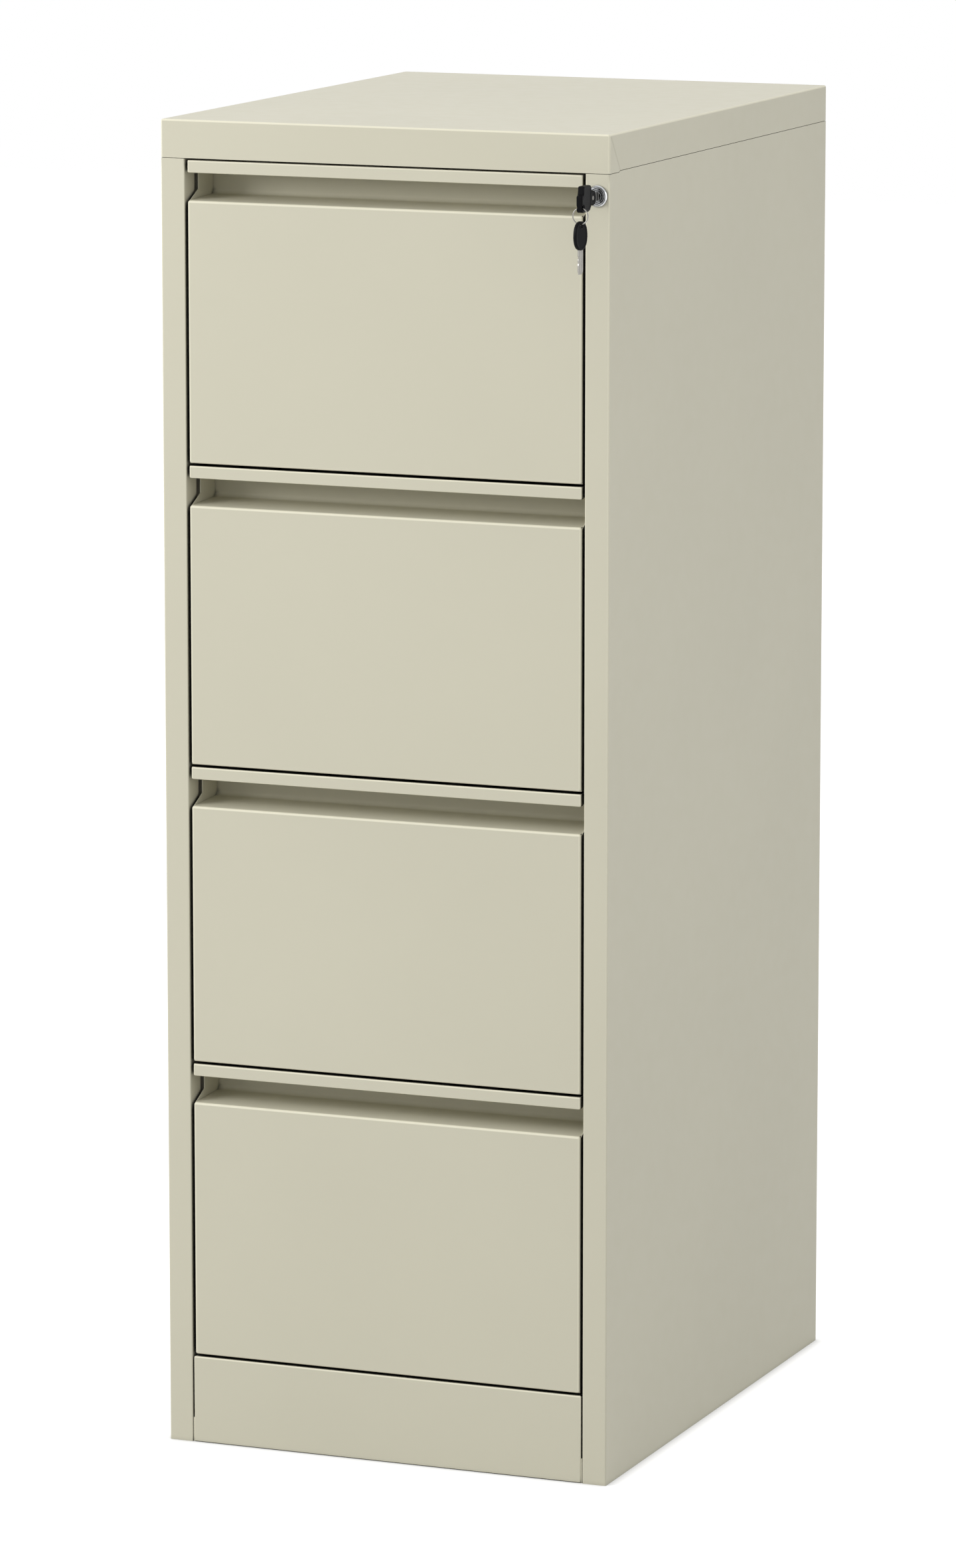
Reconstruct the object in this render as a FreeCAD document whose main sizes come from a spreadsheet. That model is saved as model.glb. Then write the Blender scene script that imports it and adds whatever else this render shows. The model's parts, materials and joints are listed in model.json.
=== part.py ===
# A steel filing cabinet with four drawers, full-width recessed handles and a gang lock.
# Lengths are in millimetres. X runs to the right, Y to the back and Z up. The origin
# lies on the floor under the middle of the cabinet, whose front faces -Y.
import FreeCAD
import Part
import os
import Sketcher

DRAWERS = (1, 2, 3, 4)
BALLS = 6

# How far a cut runs past what it cuts away.
MARGIN = 1

# Every driving dimension, with what it measures.
SIZES = [
    ("cabinet_width", 470, "across the side panels"),
    ("cabinet_depth", 620, "front of the drawers to the back flange"),
    ("cabinet_height", 1330, "floor to the top of the cap"),
    ("gauge", 1.0, "sheet steel of the casing, fronts and trays"),
    ("bend_radius", 1.5, "outer radius of the bends that show"),
    ("play", 0.5, "room between sheets that slip past each other"),
    ("seam", 0.5, "line between the cap and the panels below it"),
    ("stile_width", 25, "front face of each side panel"),
    ("stile_return", 24, "flange that runs back from each stile into the opening"),
    ("rear_flange", 20, "flange of each side panel behind the back panel"),
    ("cap_flange", 37.6, "front flange of the cap"),
    ("cap_step", 1.3, "how much shorter the cap's side and back flanges are"),
    ("cap_wrap", 28, "how far the front flange runs along each side"),
    ("cap_radius", 2.0, "outer radius of the cap's edges"),
    ("tongue_overlap", 18, "how far the seat of the cap reaches below its flange"),
    ("tongue_inset", 40, "seat of the cap from the front and the back"),
    ("top_room", 5, "room between the uprights and the top of the cap"),
    ("base_gauge", 1.2, "sheet of the base pan"),
    ("base_flange", 25, "height of the base pan's upturned flanges"),
    ("back_lift", 1.0, "bottom of the back panel above the floor"),
    ("kick_height", 88.4, "top of the kick plate above the floor"),
    ("kick_lift", 1.0, "bottom of the kick plate above the floor"),
    ("kick_return", 24, "top flange of the kick plate"),
    ("kick_hem", 12, "flange that hangs from the back of that top flange"),
    ("kick_end", 15, "end flanges of the kick plate"),
    ("kick_gap", 1.5, "seam between the kick plate and each stile"),
    ("cap_gap", 2.0, "cap's flange to the top drawer"),
    ("drawer_gap", 2.6, "between one drawer front and the next"),
    ("front_gap", 3.2, "between a drawer front and each stile"),
    ("lip_face", 12.2, "height of the lip above the finger opening"),
    ("lip_hem", 9, "flange behind the bottom edge of the lip"),
    ("grip_height", 27.2, "height of the finger opening"),
    ("recess_depth", 60, "front face to the back wall of the handle recess"),
    ("shelf_rise", 2.0, "rise of the recess floor towards its back wall"),
    ("end_setback", 25, "how far the recess's end plates stand back"),
    ("end_rise", 9.4, "height of the slant at the foot of an end plate"),
    ("gusset_drop", 15, "slope of an end plate below the face's top edge, at the recess"),
    ("gusset_foot", 45, "the same slope's foot, at the front's return"),
    ("front_return", 19, "bottom and end flanges of a drawer front"),
    ("backing_drop", 7, "top of the inner skin's lower part below the face edge"),
    ("backing_hem", 2, "bottom of the inner skin above the bottom of the front"),
    ("tray_lift", 12, "tray above the bottom of its front"),
    ("tray_top_room", 34, "tray below the top of its front"),
    ("tray_flange", 10, "top and bottom flanges of a tray's sides"),
    ("tray_back_room", 42, "rear end of a tray to the back of the cabinet"),
    ("tray_back_inset", 10, "back plate of a tray from the rear end of its sides"),
    ("hanger_height", 10, "rail that carries hanging files"),
    ("hanger_gauge", 2.0, "thickness of that rail"),
    ("hanger_end", 4, "room at the front end of that rail"),
    ("rail_gap", 3, "back of a front's skin to the cross rails"),
    ("rail_depth", 20, "front to back size of a cross rail"),
    ("rail_height", 20, "height of a cross rail"),
    ("rail_rise", 2, "top of a cross rail above the lip in front of it"),
    ("upright_gauge", 1.2, "sheet of the uprights"),
    ("upright_gap", 4, "lock bar to the uprights"),
    ("rail_seat", 11, "how far a cross rail's end bears on its upright"),
    ("slide_inset", 38, "slides from the front of the cabinet"),
    ("slide_back_room", 32, "slides to the back of the cabinet"),
    ("slide_overlap", 50, "length of the slides that stays engaged, drawn out"),
    ("slide_space", 12.7, "upright to the side of the tray"),
    ("slide_lift", 60, "middle of a slide above the bottom of the tray"),
    ("slide_gauge", 1.2, "sheet of the slides"),
    ("outer_height", 45.7, "height of a slide's outer member"),
    ("outer_room", 3, "lips of the outer member to the side of the tray"),
    ("race_gap", 3.6, "height of each ball race"),
    ("middle_room", 1.3, "lips of the middle member to the inner member's web"),
    ("middle_standoff", 3.2, "upright to the middle member"),
    ("inner_room", 1.8, "lips of the inner member to the middle member's web"),
    ("ball_play", 0.1, "room between a ball and its race"),
    ("ball_pitch", 24, "ball to ball along a cage"),
    ("cage_gauge", 0.8, "thickness of a ball cage"),
    ("cage_width", 3, "width of a ball cage"),
    ("cage_end", 10, "cage beyond its last ball"),
    ("screw_head", 3.4, "radius of a slide screw's head"),
    ("screw_head_height", 1.4, "height of that head"),
    ("screw_shank", 1.95, "radius of its shank"),
    ("screw_length", 3.7, "length of its shank"),
    ("screw_hole", 2.05, "radius of the hole it passes through"),
    ("strike_room", 1, "slope of an end plate to the strike below it"),
    ("strike_tall", 12, "height of a strike"),
    ("strike_reach", 10, "how far a strike stands out from the tray"),
    ("strike_gauge", 2, "thickness of a strike"),
    ("strike_gap", 1, "lock bar to a strike"),
    ("strike_foot", 14, "length of a strike's foot along the tray"),
    ("lock_drop", 21.4, "middle of the lock below the cap's flange"),
    ("hole_play", 0.2, "radial room around the lock in its stile"),
    ("lock_depth", 20, "length of the lock's body behind the stile"),
    ("bezel_margin", 2, "rim of the lock to each edge of the stile"),
    ("bezel_overhang", 1.1, "rim beyond the lock's body"),
    ("bezel_height", 4, "how far the rim stands out"),
    ("nut_room", 0.3, "ring nut to the inside of the stile"),
    ("nut_height", 5, "thickness of that nut"),
    ("plug_radius", 7, "turning plug of the lock"),
    ("plug_play", 0.05, "radial room around the plug"),
    ("plug_sink", 0.4, "face of the plug below the rim"),
    ("plug_overhang", 1, "plug beyond the back of the lock's body"),
    ("tail_side", 6, "square tail of the plug"),
    ("cam_gauge", 2, "thickness of the cam"),
    ("cam_standoff", 0.4, "end of the plug to the cam"),
    ("cam_room", 0.7, "end of the cam to the stile's return, as it turns"),
    ("cam_boss", 2.8, "end of the cam around its pin"),
    ("pin_radius", 1.8, "pin that lifts the lock bar"),
    ("bar_room", 5, "stile's return flange to the lock bar"),
    ("bar_gauge", 3, "thickness of the lock bar"),
    ("guide_room", 2.1, "guide of the lock bar to the inside of the stile"),
    ("bar_play", 0.4, "room around the lock bar in its guides"),
    ("bar_tail", 20, "foot of the lock bar below its lowest guide"),
    ("notch_play", 0.5, "room above and below the pin in the bar's notch"),
    ("notch_depth", 7, "depth of that notch"),
    ("head_margin", 8, "bar above and below that notch"),
    ("hook_tall", 9, "height of a hook of the lock bar"),
    ("hook_drop", 2.5, "hook below the strike when the lock is open"),
    ("hook_gap", 3, "hook's end to the tray"),
    ("guide_height", 14, "height of a guide of the lock bar"),
    ("guide_drop", 90, "foot of a guide below the drawer's strike"),
    ("guide_wall", 3, "wall of a guide beside the bar"),
    ("key_width", 7.2, "width of a key's blade"),
    ("key_gauge", 2.0, "thickness of a key's blade"),
    ("key_slot_play", 0.25, "room around the blade in the plug"),
    ("key_shoulder", 8.4, "width of the blade's shoulder"),
    ("key_shoulder_length", 3.5, "length of that shoulder"),
    ("key_tip_room", 1, "tip of the blade to the end of its slot"),
    ("fold_reach", 18, "front of the cabinet to the key's rivet"),
    ("tang_radius", 3, "round end of the blade at the rivet"),
    ("rivet_radius", 1.2, "rivet of the folding head"),
    ("rivet_play", 0.05, "radial room around that rivet"),
    ("hub_radius", 7.3, "round neck of the folding head"),
    ("hub_width", 5.6, "thickness of that neck"),
    ("hub_slot_play", 0.15, "room beside the tang in the neck"),
    ("hub_slot_depth", 3.5, "slot of the neck beyond the rivet"),
    ("bow_gap", 5, "rivet to the bow of the folding head"),
    ("bow_length", 25.3, "length of that bow"),
    ("bow_height", 26.4, "height of that bow"),
    ("bow_width", 6.4, "thickness of that bow"),
    ("bow_corner", 4.5, "radius of the bow's corners"),
    ("bow_heel", 9, "radius of its lower corner next to the neck"),
    ("bow_shoulder", 2, "radius at the top of its stepped free end"),
    ("bow_setback", 4, "step back of the upper part of that end"),
    ("bow_step_foot", 3.8, "foot of that step above the middle of the lock"),
    ("bow_step_top", 5.8, "top of that step above the middle of the lock"),
    ("eye_radius", 2.2, "eye for the key ring in either key"),
    ("eye_inset", 3.4, "eye of the bow from its front edge"),
    ("eye_drop", 7.1, "eye of the bow below the middle of the lock"),
    ("ring_radius", 7.7, "middle of the key ring's wire"),
    ("ring_wire", 0.6, "radius of that wire"),
    ("ring_sag", 0.35, "ring's wire below the middle of the bow's eye"),
    ("spare_sag", 1.1, "spare key's eye below the ring's wire"),
    ("spare_turn", 13, "degrees that the spare key hangs turned"),
    ("spare_width", 20, "width of the spare key's head"),
    ("spare_height", 27.6, "height of the spare key's head"),
    ("spare_gauge", 3.5, "thickness of the spare key's head"),
    ("spare_corner", 9.4, "radius of its corners"),
    ("spare_eye", 4, "eye of the spare key below its top"),
    ("spare_blade", 23, "length of the spare key's blade"),
]

doc = FreeCAD.newDocument("filing_cabinet")
sheet = doc.addObject("Spreadsheet::Sheet", "size")
sheet.Label = "sizes"
for row, (alias, number, note) in enumerate(SIZES, start=1):
    sheet.set(f"A{row}", alias)
    sheet.set(f"B{row}", str(number))
    sheet.set(f"C{row}", note)
    sheet.setAlias(f"B{row}", alias)
doc.recompute()

# Places that several pieces share, each worked out from the driving dimensions.
HALF = "(size.cabinet_width / 2)"
FRONT = "(-size.cabinet_depth / 2)"
BACK = "(size.cabinet_depth / 2)"
CAP_BOTTOM = "(size.cabinet_height - size.cap_flange)"
PANEL_TOP = f"({CAP_BOTTOM} + size.cap_step - size.seam)"
PITCH = f"(({CAP_BOTTOM} - size.cap_gap - size.kick_height) / {len(DRAWERS)})"
FRONT_HEIGHT = f"({PITCH} - size.drawer_gap)"
FRONT_HALF = f"({HALF} - size.stile_width - size.front_gap)"
FACE_TOP = f"({FRONT_HEIGHT} - size.lip_face - size.grip_height)"
UPRIGHT_FACE = f"({HALF} - size.stile_width + size.gauge)"
TRAY_HALF = f"({UPRIGHT_FACE} - size.slide_space)"
TRAY_FRONT = f"({FRONT} + size.front_return + size.gauge)"
TRAY_END = f"({BACK} - size.tray_back_room)"
TRAY_BACK = f"({TRAY_END} - size.tray_back_inset)"
TRAY_TOP = f"({FRONT_HEIGHT} - size.tray_top_room)"
STRIKE_FOOT = f"({FACE_TOP} - size.gusset_foot - size.strike_room - size.strike_tall)"
GUIDE_FOOT = f"({STRIKE_FOOT} - size.guide_drop)"
SKIN_BACK = f"({FRONT} + size.recess_depth + 2 * size.gauge)"
RAIL_FRONT = f"({SKIN_BACK} + size.rail_gap)"
LOCK_X = f"({HALF} - size.stile_width / 2)"
LOCK_Z = f"({CAP_BOTTOM} - size.lock_drop)"
STILE_ROOM = "(size.stile_width / 2 - size.gauge)"
BEZEL_RADIUS = "(size.stile_width / 2 - size.bezel_margin)"
LOCK_RADIUS = f"({BEZEL_RADIUS} - size.bezel_overhang)"
PLUG_BACK = f"({FRONT} + size.lock_depth + size.plug_overhang)"
CAM_RADIUS = f"({STILE_ROOM} - size.cam_boss - size.cam_room)"
PIN_SHIFT = f"({CAM_RADIUS} * sqrt(0.5))"
BAR_FRONT = f"({FRONT} + size.stile_return + size.bar_room)"
BAR_BACK = f"({BAR_FRONT} + size.bar_gauge)"
GUIDE_HALF = f"({STILE_ROOM} - size.guide_room)"
BAR_HALF = f"({GUIDE_HALF} - size.guide_wall - size.bar_play)"
UPRIGHT_FRONT = f"({BAR_BACK} + size.upright_gap)"
UPRIGHT_HALF = f"(({RAIL_FRONT} + size.rail_seat - {UPRIGHT_FRONT}) / 2)"
UPRIGHT_MIDDLE = f"(-{UPRIGHT_FRONT} - {UPRIGHT_HALF})"
SLIDE_FRONT = f"({FRONT} + size.slide_inset)"
SLIDE_BACK = f"({BACK} - size.slide_back_room)"
SLIDE_TRAVEL = f"({SLIDE_BACK} - {SLIDE_FRONT} - size.slide_overlap)"
MIDDLE_HEIGHT = "(size.outer_height - 2 * (size.slide_gauge + size.race_gap))"
INNER_HEIGHT = f"({MIDDLE_HEIGHT} - 2 * (size.slide_gauge + size.race_gap))"
OUTER_TIP = f"({TRAY_HALF} + size.slide_gauge + size.outer_room)"
MIDDLE_ROOT = f"({UPRIGHT_FACE} - size.middle_standoff)"
MIDDLE_TIP = f"({TRAY_HALF} + size.slide_gauge + size.middle_room)"
INNER_TIP = f"({MIDDLE_ROOT} - size.slide_gauge - size.inner_room)"
RIVET_Y = f"({FRONT} - size.fold_reach)"
EYE_Y = f"({RIVET_Y} - size.bow_gap - size.bow_length + size.eye_inset)"
EYE_Z = f"({LOCK_Z} - size.eye_drop)"
RING_TOP = f"({EYE_Z} - size.ring_sag)"
RING_BOTTOM = f"({RING_TOP} - 2 * size.ring_radius)"


def level(drawer):
    """Bottom of a drawer's front above the floor; drawer 1 is the top one."""
    return f"(size.kick_height + size.drawer_gap + {len(DRAWERS) - drawer} * {PITCH})"


def slide_level(drawer):
    """Middle of a drawer's slides above the floor."""
    return f"({level(drawer)} + size.tray_lift + size.slide_lift)"


def value(expression):
    """What an expression comes to, as a plain number."""
    return float(sheet.evalExpression(expression))


# Sketched bodies

PLANES = {"XY": 1, "XZ": -1, "YZ": 1}


def new_body(name):
    return doc.addObject("PartDesign::Body", name)


def origin_part(body, role):
    """One of a body's own origin planes or axes."""
    return next(o for o in body.Origin.OriginFeatures if o.Role == role)


def new_sketch(body, plane, offset):
    sketch = body.newObject("Sketcher::SketchObject", f"{body.Name}_outline")
    sketch.AttachmentSupport = (origin_part(body, f"{plane}_Plane"), [""])
    sketch.MapMode = "FlatFace"
    sketch.setExpression(".AttachmentOffset.Base.z", offset)
    return sketch


def hold_point(sketch, geometry, point, across, up):
    """Tie one point of a sketch to its two distances from the origin."""
    for kind, expression in (("DistanceX", across), ("DistanceY", up)):
        distance = Sketcher.Constraint(kind, -1, 1, geometry, point, value(expression))
        index = sketch.addConstraint(distance)
        sketch.setExpression(f"Constraints[{index}]", expression)


def draw_polygon(sketch, corners):
    """A closed outline through corners, each a pair of expressions."""
    places = [FreeCAD.Vector(value(u), value(v), 0) for u, v in corners]
    first = sketch.GeometryCount
    count = len(corners)
    for i in range(count):
        sketch.addGeometry(Part.LineSegment(places[i], places[(i + 1) % count]), False)
    for i in range(count):
        joint = Sketcher.Constraint("Coincident", first + i, 2, first + (i + 1) % count, 1)
        sketch.addConstraint(joint)
    for i, (u, v) in enumerate(corners):
        hold_point(sketch, first + i, 1, u, v)


def draw_circle(sketch, across, up, radius):
    middle = FreeCAD.Vector(value(across), value(up), 0)
    normal = FreeCAD.Vector(0, 0, 1)
    index = sketch.addGeometry(Part.Circle(middle, normal, value(radius)), False)
    hold_point(sketch, index, 3, across, up)
    limit = sketch.addConstraint(Sketcher.Constraint("Radius", index, value(radius)))
    sketch.setExpression(f"Constraints[{limit}]", radius)


def extrude(body, plane, low, high, polygons=(), circles=(), remove=False):
    """Add or remove the outlines between two places along the plane's own axis."""
    ahead = (PLANES[plane] > 0) != remove
    start = low if ahead else high
    offset = start if PLANES[plane] > 0 else f"-({low if remove else high})"
    sketch = new_sketch(body, plane, offset)
    for corners in polygons:
        draw_polygon(sketch, corners)
    for circle in circles:
        draw_circle(sketch, *circle)
    kind = "PartDesign::Pocket" if remove else "PartDesign::Pad"
    before = body.Shape.Volume if remove else 0
    feature = body.newObject(kind, f"{body.Name}_{'cut' if remove else 'pad'}")
    feature.Profile = sketch
    feature.setExpression("Length", f"({high}) - ({low})")
    doc.recompute()
    if remove and feature.Shape.Volume > before - 1e-6:
        raise RuntimeError(f"{feature.Name} removes nothing")
    return feature


def rectangle(left, right, bottom, top):
    return [(left, bottom), (right, bottom), (right, top), (left, top)]


def edges_along(shape, axis, spots):
    """Names of the straight edges that run along an axis through the given spots."""
    found = []
    others = [i for i in range(3) if i != axis]
    wanted = [(value(a), value(b)) for a, b in spots]
    for index, edge in enumerate(shape.Edges, start=1):
        start, end = edge.Vertexes[0].Point, edge.Vertexes[-1].Point
        if any(abs(start[i] - end[i]) > 1e-6 for i in others):
            continue
        here = [start[i] for i in others]
        if any(abs(here[0] - a) < 1e-3 and abs(here[1] - b) < 1e-3 for a, b in wanted):
            found.append(f"Edge{index}")
    return found


def round_edges(body, radius, edges):
    """Round the edges given as pairs of an axis and its spots."""
    base = body.Tip
    names = [name for axis, spots in edges for name in edges_along(base.Shape, axis, spots)]
    if not names:
        raise RuntimeError(f"{body.Name} has no such edge")
    fillet = body.newObject("PartDesign::Fillet", f"{body.Name}_round")
    fillet.Base = (base, names)
    fillet.setExpression("Radius", radius)
    doc.recompute()
    return fillet


def repeat_up(body, feature, step, count):
    """Repeat a feature upwards at even steps."""
    pattern = body.newObject("PartDesign::LinearPattern", f"{body.Name}_row")
    pattern.Originals = [feature]
    pattern.Direction = (origin_part(body, "Z_Axis"), [""])
    pattern.Occurrences = count
    pattern.setExpression("Length", f"{count - 1} * {step}")
    body.Tip = pattern
    doc.recompute()
    return pattern


# Plain blocks and rounds, and what is made of them

def block(name, x, y, z):
    """A box between two expressions each way."""
    box = doc.addObject("Part::Box", name)
    for side, axis, (low, high) in (("Length", "x", x), ("Width", "y", y), ("Height", "z", z)):
        box.setExpression(side, f"({high}) - ({low})")
        box.setExpression(f".Placement.Base.{axis}", low)
    return box


def rod_along_x(name, radius, x, y, z):
    """A cylinder that runs along X between two expressions."""
    low, high = x
    rod = doc.addObject("Part::Cylinder", name)
    rod.Placement.Rotation = FreeCAD.Rotation(FreeCAD.Vector(0, 1, 0), 90)
    rod.setExpression("Radius", radius)
    rod.setExpression("Height", f"({high}) - ({low})")
    for axis, place in (("x", low), ("y", y), ("z", z)):
        rod.setExpression(f".Placement.Base.{axis}", place)
    return rod


def ball(name, radius, x, y, z):
    sphere = doc.addObject("Part::Sphere", name)
    sphere.setExpression("Radius", radius)
    for axis, place in (("x", x), ("y", y), ("z", z)):
        sphere.setExpression(f".Placement.Base.{axis}", place)
    return sphere


def fused(name, pieces):
    fuse = doc.addObject("Part::MultiFuse", name)
    fuse.Shapes = pieces
    return fuse


def hollowed(name, outside, inside):
    cut = doc.addObject("Part::Cut", name)
    cut.Base = outside
    cut.Tool = inside
    return cut


def mirrored(piece):
    """The same piece on the cabinet's other side."""
    twin = doc.addObject("Part::Mirroring", f"{piece.Name}_twin")
    twin.Source = piece
    twin.Base = FreeCAD.Vector(0, 0, 0)
    twin.Normal = FreeCAD.Vector(1, 0, 0)
    return twin


def grouped(name, pieces):
    group = doc.addObject("Part::Compound", name)
    group.Links = pieces
    return group


nodes = []


def keep(label, piece):
    """Name a finished sub-part, so that it is checked and written out."""
    piece.Label = label
    nodes.append(piece)


# Casing

def make_cap():
    """The top: one sheet with a deep front flange that wraps round both front corners."""
    body = new_body("cap_body")
    depth = rectangle(f"-{HALF}", HALF, FRONT, BACK)
    extrude(body, "XY", CAP_BOTTOM, "size.cabinet_height", polygons=[depth])
    crown = [
        (0, [(FRONT, "size.cabinet_height"), (BACK, "size.cabinet_height")]),
        (1, [(f"-{HALF}", "size.cabinet_height"), (HALF, "size.cabinet_height")]),
        (2, [(x, y) for x in (f"-{HALF}", HALF) for y in (FRONT, BACK)]),
    ]
    round_edges(body, "size.cap_radius", crown)
    inner_half = f"({HALF} - size.gauge)"
    near = f"({FRONT} + size.gauge)"
    far = f"({BACK} - size.gauge)"
    roof = "(size.cabinet_height - size.gauge)"
    room = rectangle(f"-{inner_half}", inner_half, near, far)
    extrude(body, "XY", CAP_BOTTOM, roof, polygons=[room], remove=True)
    inside = [
        (0, [(near, roof), (far, roof)]),
        (1, [(f"-{inner_half}", roof), (inner_half, roof)]),
        (2, [(x, y) for x in (f"-{inner_half}", inner_half) for y in (near, far)]),
    ]
    round_edges(body, "size.cap_radius - size.gauge", inside)
    wide = f"({HALF} + {MARGIN})"
    shorter = rectangle(f"-{wide}", wide, f"{FRONT} + size.cap_wrap", f"{BACK} + {MARGIN}")
    extrude(body, "XY", CAP_BOTTOM, f"{CAP_BOTTOM} + size.cap_step", polygons=[shorter], remove=True)
    keep("top_cap", body)


def make_side_panel(label, side):
    """A side: stile, its return flange, the panel and the rear flange in one sheet."""
    body = new_body(f"{label}_body")

    def across(inset):
        return f"{side} * ({HALF} - ({inset}))"

    outline = [
        (across("0"), BACK),
        (across("0"), FRONT),
        (across("size.stile_width"), FRONT),
        (across("size.stile_width"), f"{FRONT} + size.stile_return"),
        (across("size.stile_width - size.gauge"), f"{FRONT} + size.stile_return"),
        (across("size.stile_width - size.gauge"), f"{FRONT} + size.gauge"),
        (across("size.gauge"), f"{FRONT} + size.gauge"),
        (across("size.gauge"), f"{BACK} - size.gauge"),
        (across("size.rear_flange"), f"{BACK} - size.gauge"),
        (across("size.rear_flange"), BACK),
    ]
    extrude(body, "XY", "0", PANEL_TOP, polygons=[outline])
    bends = [(across("0"), FRONT), (across("size.stile_width"), FRONT), (across("0"), BACK)]
    round_edges(body, "size.bend_radius", [(2, bends)])
    corner_back = f"{FRONT} + size.cap_wrap + size.seam"
    corner = [
        (across(f"-{MARGIN}"), f"{FRONT} - {MARGIN}"),
        (across(f"size.stile_width + {MARGIN}"), f"{FRONT} - {MARGIN}"),
        (across(f"size.stile_width + {MARGIN}"), corner_back),
        (across(f"-{MARGIN}"), corner_back),
    ]
    extrude(body, "XY", f"{CAP_BOTTOM} - size.seam", PANEL_TOP, polygons=[corner], remove=True)
    tongue = [
        (across("size.gauge"), f"{FRONT} + size.tongue_inset"),
        (across("2 * size.gauge"), f"{FRONT} + size.tongue_inset"),
        (across("2 * size.gauge"), f"{BACK} - size.tongue_inset"),
        (across("size.gauge"), f"{BACK} - size.tongue_inset"),
    ]
    tongue_top = "size.cabinet_height - size.top_room"
    extrude(body, "XY", f"{PANEL_TOP} - size.tongue_overlap", tongue_top, polygons=[tongue])
    if side > 0:
        hole = (LOCK_X, LOCK_Z, f"{LOCK_RADIUS} + size.hole_play")
        extrude(body, "XZ", FRONT, f"{FRONT} + size.gauge", circles=[hole], remove=True)
    keep(label, body)


def make_back_panel():
    """A flat sheet between the rear flanges of the side panels."""
    edge = f"({HALF} - size.gauge - size.play)"
    across = (f"-{edge}", edge)
    along = (f"{BACK} - 2 * size.gauge", f"{BACK} - size.gauge")
    keep("back_panel", block("back_sheet", across, along, ("size.back_lift", PANEL_TOP)))


def make_base_pan():
    """The floor of the cabinet: a tray with upturned flanges that lies on the ground."""
    body = new_body("base_body")
    front_half = f"({HALF} - size.stile_width - size.play)"
    half = f"({HALF} - size.gauge - size.play)"
    near = f"({FRONT} + size.gauge)"
    notch = f"({FRONT} + size.stile_return + size.play)"
    far = f"({BACK} - 2 * size.gauge)"
    outline = [
        (f"-{front_half}", near),
        (front_half, near),
        (front_half, notch),
        (half, notch),
        (half, far),
        (f"-{half}", far),
        (f"-{half}", notch),
        (f"-{front_half}", notch),
    ]
    extrude(body, "XY", "0", "size.base_gauge", polygons=[outline])
    flanges = [
        rectangle(f"-{front_half}", front_half, near, f"{near} + size.base_gauge"),
        rectangle(f"-{half}", half, f"{far} - size.base_gauge", far),
        rectangle(f"{half} - size.base_gauge", half, notch, far),
        rectangle(f"-{half}", f"-{half} + size.base_gauge", notch, far),
    ]
    for flange in flanges:
        extrude(body, "XY", "0", "size.base_flange", polygons=[flange])
    keep("base_pan", body)


def make_kick_plate():
    """The plate under the lowest drawer, bent back along its top and at both ends."""
    body = new_body("kick_body")
    half = f"({HALF} - size.stile_width - size.kick_gap)"
    back = f"({FRONT} + size.kick_return)"
    outline = [
        (FRONT, "size.kick_lift"),
        (FRONT, "size.kick_height"),
        (back, "size.kick_height"),
        (back, "size.kick_height - size.kick_hem"),
        (f"{back} - size.gauge", "size.kick_height - size.kick_hem"),
        (f"{back} - size.gauge", "size.kick_height - size.gauge"),
        (f"{FRONT} + size.gauge", "size.kick_height - size.gauge"),
        (f"{FRONT} + size.gauge", "size.kick_lift"),
    ]
    extrude(body, "YZ", f"-{half}", half, polygons=[outline])
    end_foot = "size.base_flange + size.play"
    end = rectangle(FRONT, f"{FRONT} + size.kick_end", end_foot, "size.kick_height")
    extrude(body, "YZ", f"-{half}", f"-{half} + size.gauge", polygons=[end])
    extrude(body, "YZ", f"{half} - size.gauge", half, polygons=[end])
    round_edges(body, "size.bend_radius", [(0, [(FRONT, "size.kick_height")])])
    keep("kick_plate", body)


def make_cross_rails():
    """One channel behind the lip of each drawer, between the front uprights."""
    rails = []
    near = RAIL_FRONT
    far = f"({near} + size.rail_depth)"
    for drawer in DRAWERS:
        body = new_body(f"rail_{drawer}")
        top = f"({level(drawer)} + {FRONT_HEIGHT} + size.rail_rise)"
        foot = f"({top} - size.rail_height)"
        outline = [
            (near, foot),
            (near, top),
            (far, top),
            (far, foot),
            (f"{far} - size.gauge", foot),
            (f"{far} - size.gauge", f"{top} - size.gauge"),
            (f"{near} + size.gauge", f"{top} - size.gauge"),
            (f"{near} + size.gauge", foot),
        ]
        extrude(body, "YZ", f"-{UPRIGHT_FACE}", UPRIGHT_FACE, polygons=[outline])
        rails.append(body)
    keep("front_cross_rails", grouped("rails", rails))


def make_upright(label, side, end):
    """A channel that carries the slides; end is -1 at the front and 1 at the back."""
    body = new_body(f"{label}_body")
    inner = f"{side} * {UPRIGHT_FACE}"
    wall = f"{side} * ({UPRIGHT_FACE} + size.upright_gauge)"
    outer = f"{side} * ({HALF} - 2 * size.gauge)"
    low = f"({end} * {UPRIGHT_MIDDLE} - {UPRIGHT_HALF})"
    high = f"({end} * {UPRIGHT_MIDDLE} + {UPRIGHT_HALF})"
    outline = [
        (inner, low),
        (outer, low),
        (outer, f"{low} + size.upright_gauge"),
        (wall, f"{low} + size.upright_gauge"),
        (wall, f"{high} - size.upright_gauge"),
        (outer, f"{high} - size.upright_gauge"),
        (outer, high),
        (inner, high),
    ]
    top = "size.cabinet_height - size.top_room"
    extrude(body, "XY", "size.base_flange", top, polygons=[outline])
    web = sorted((inner, wall), key=value)
    hole = (f"{end} * {UPRIGHT_MIDDLE}", slide_level(DRAWERS[-1]), "size.screw_hole")
    drilled = extrude(body, "YZ", *web, circles=[hole], remove=True)
    repeat_up(body, drilled, PITCH, len(DRAWERS))
    keep(label, body)


# Slides

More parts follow.
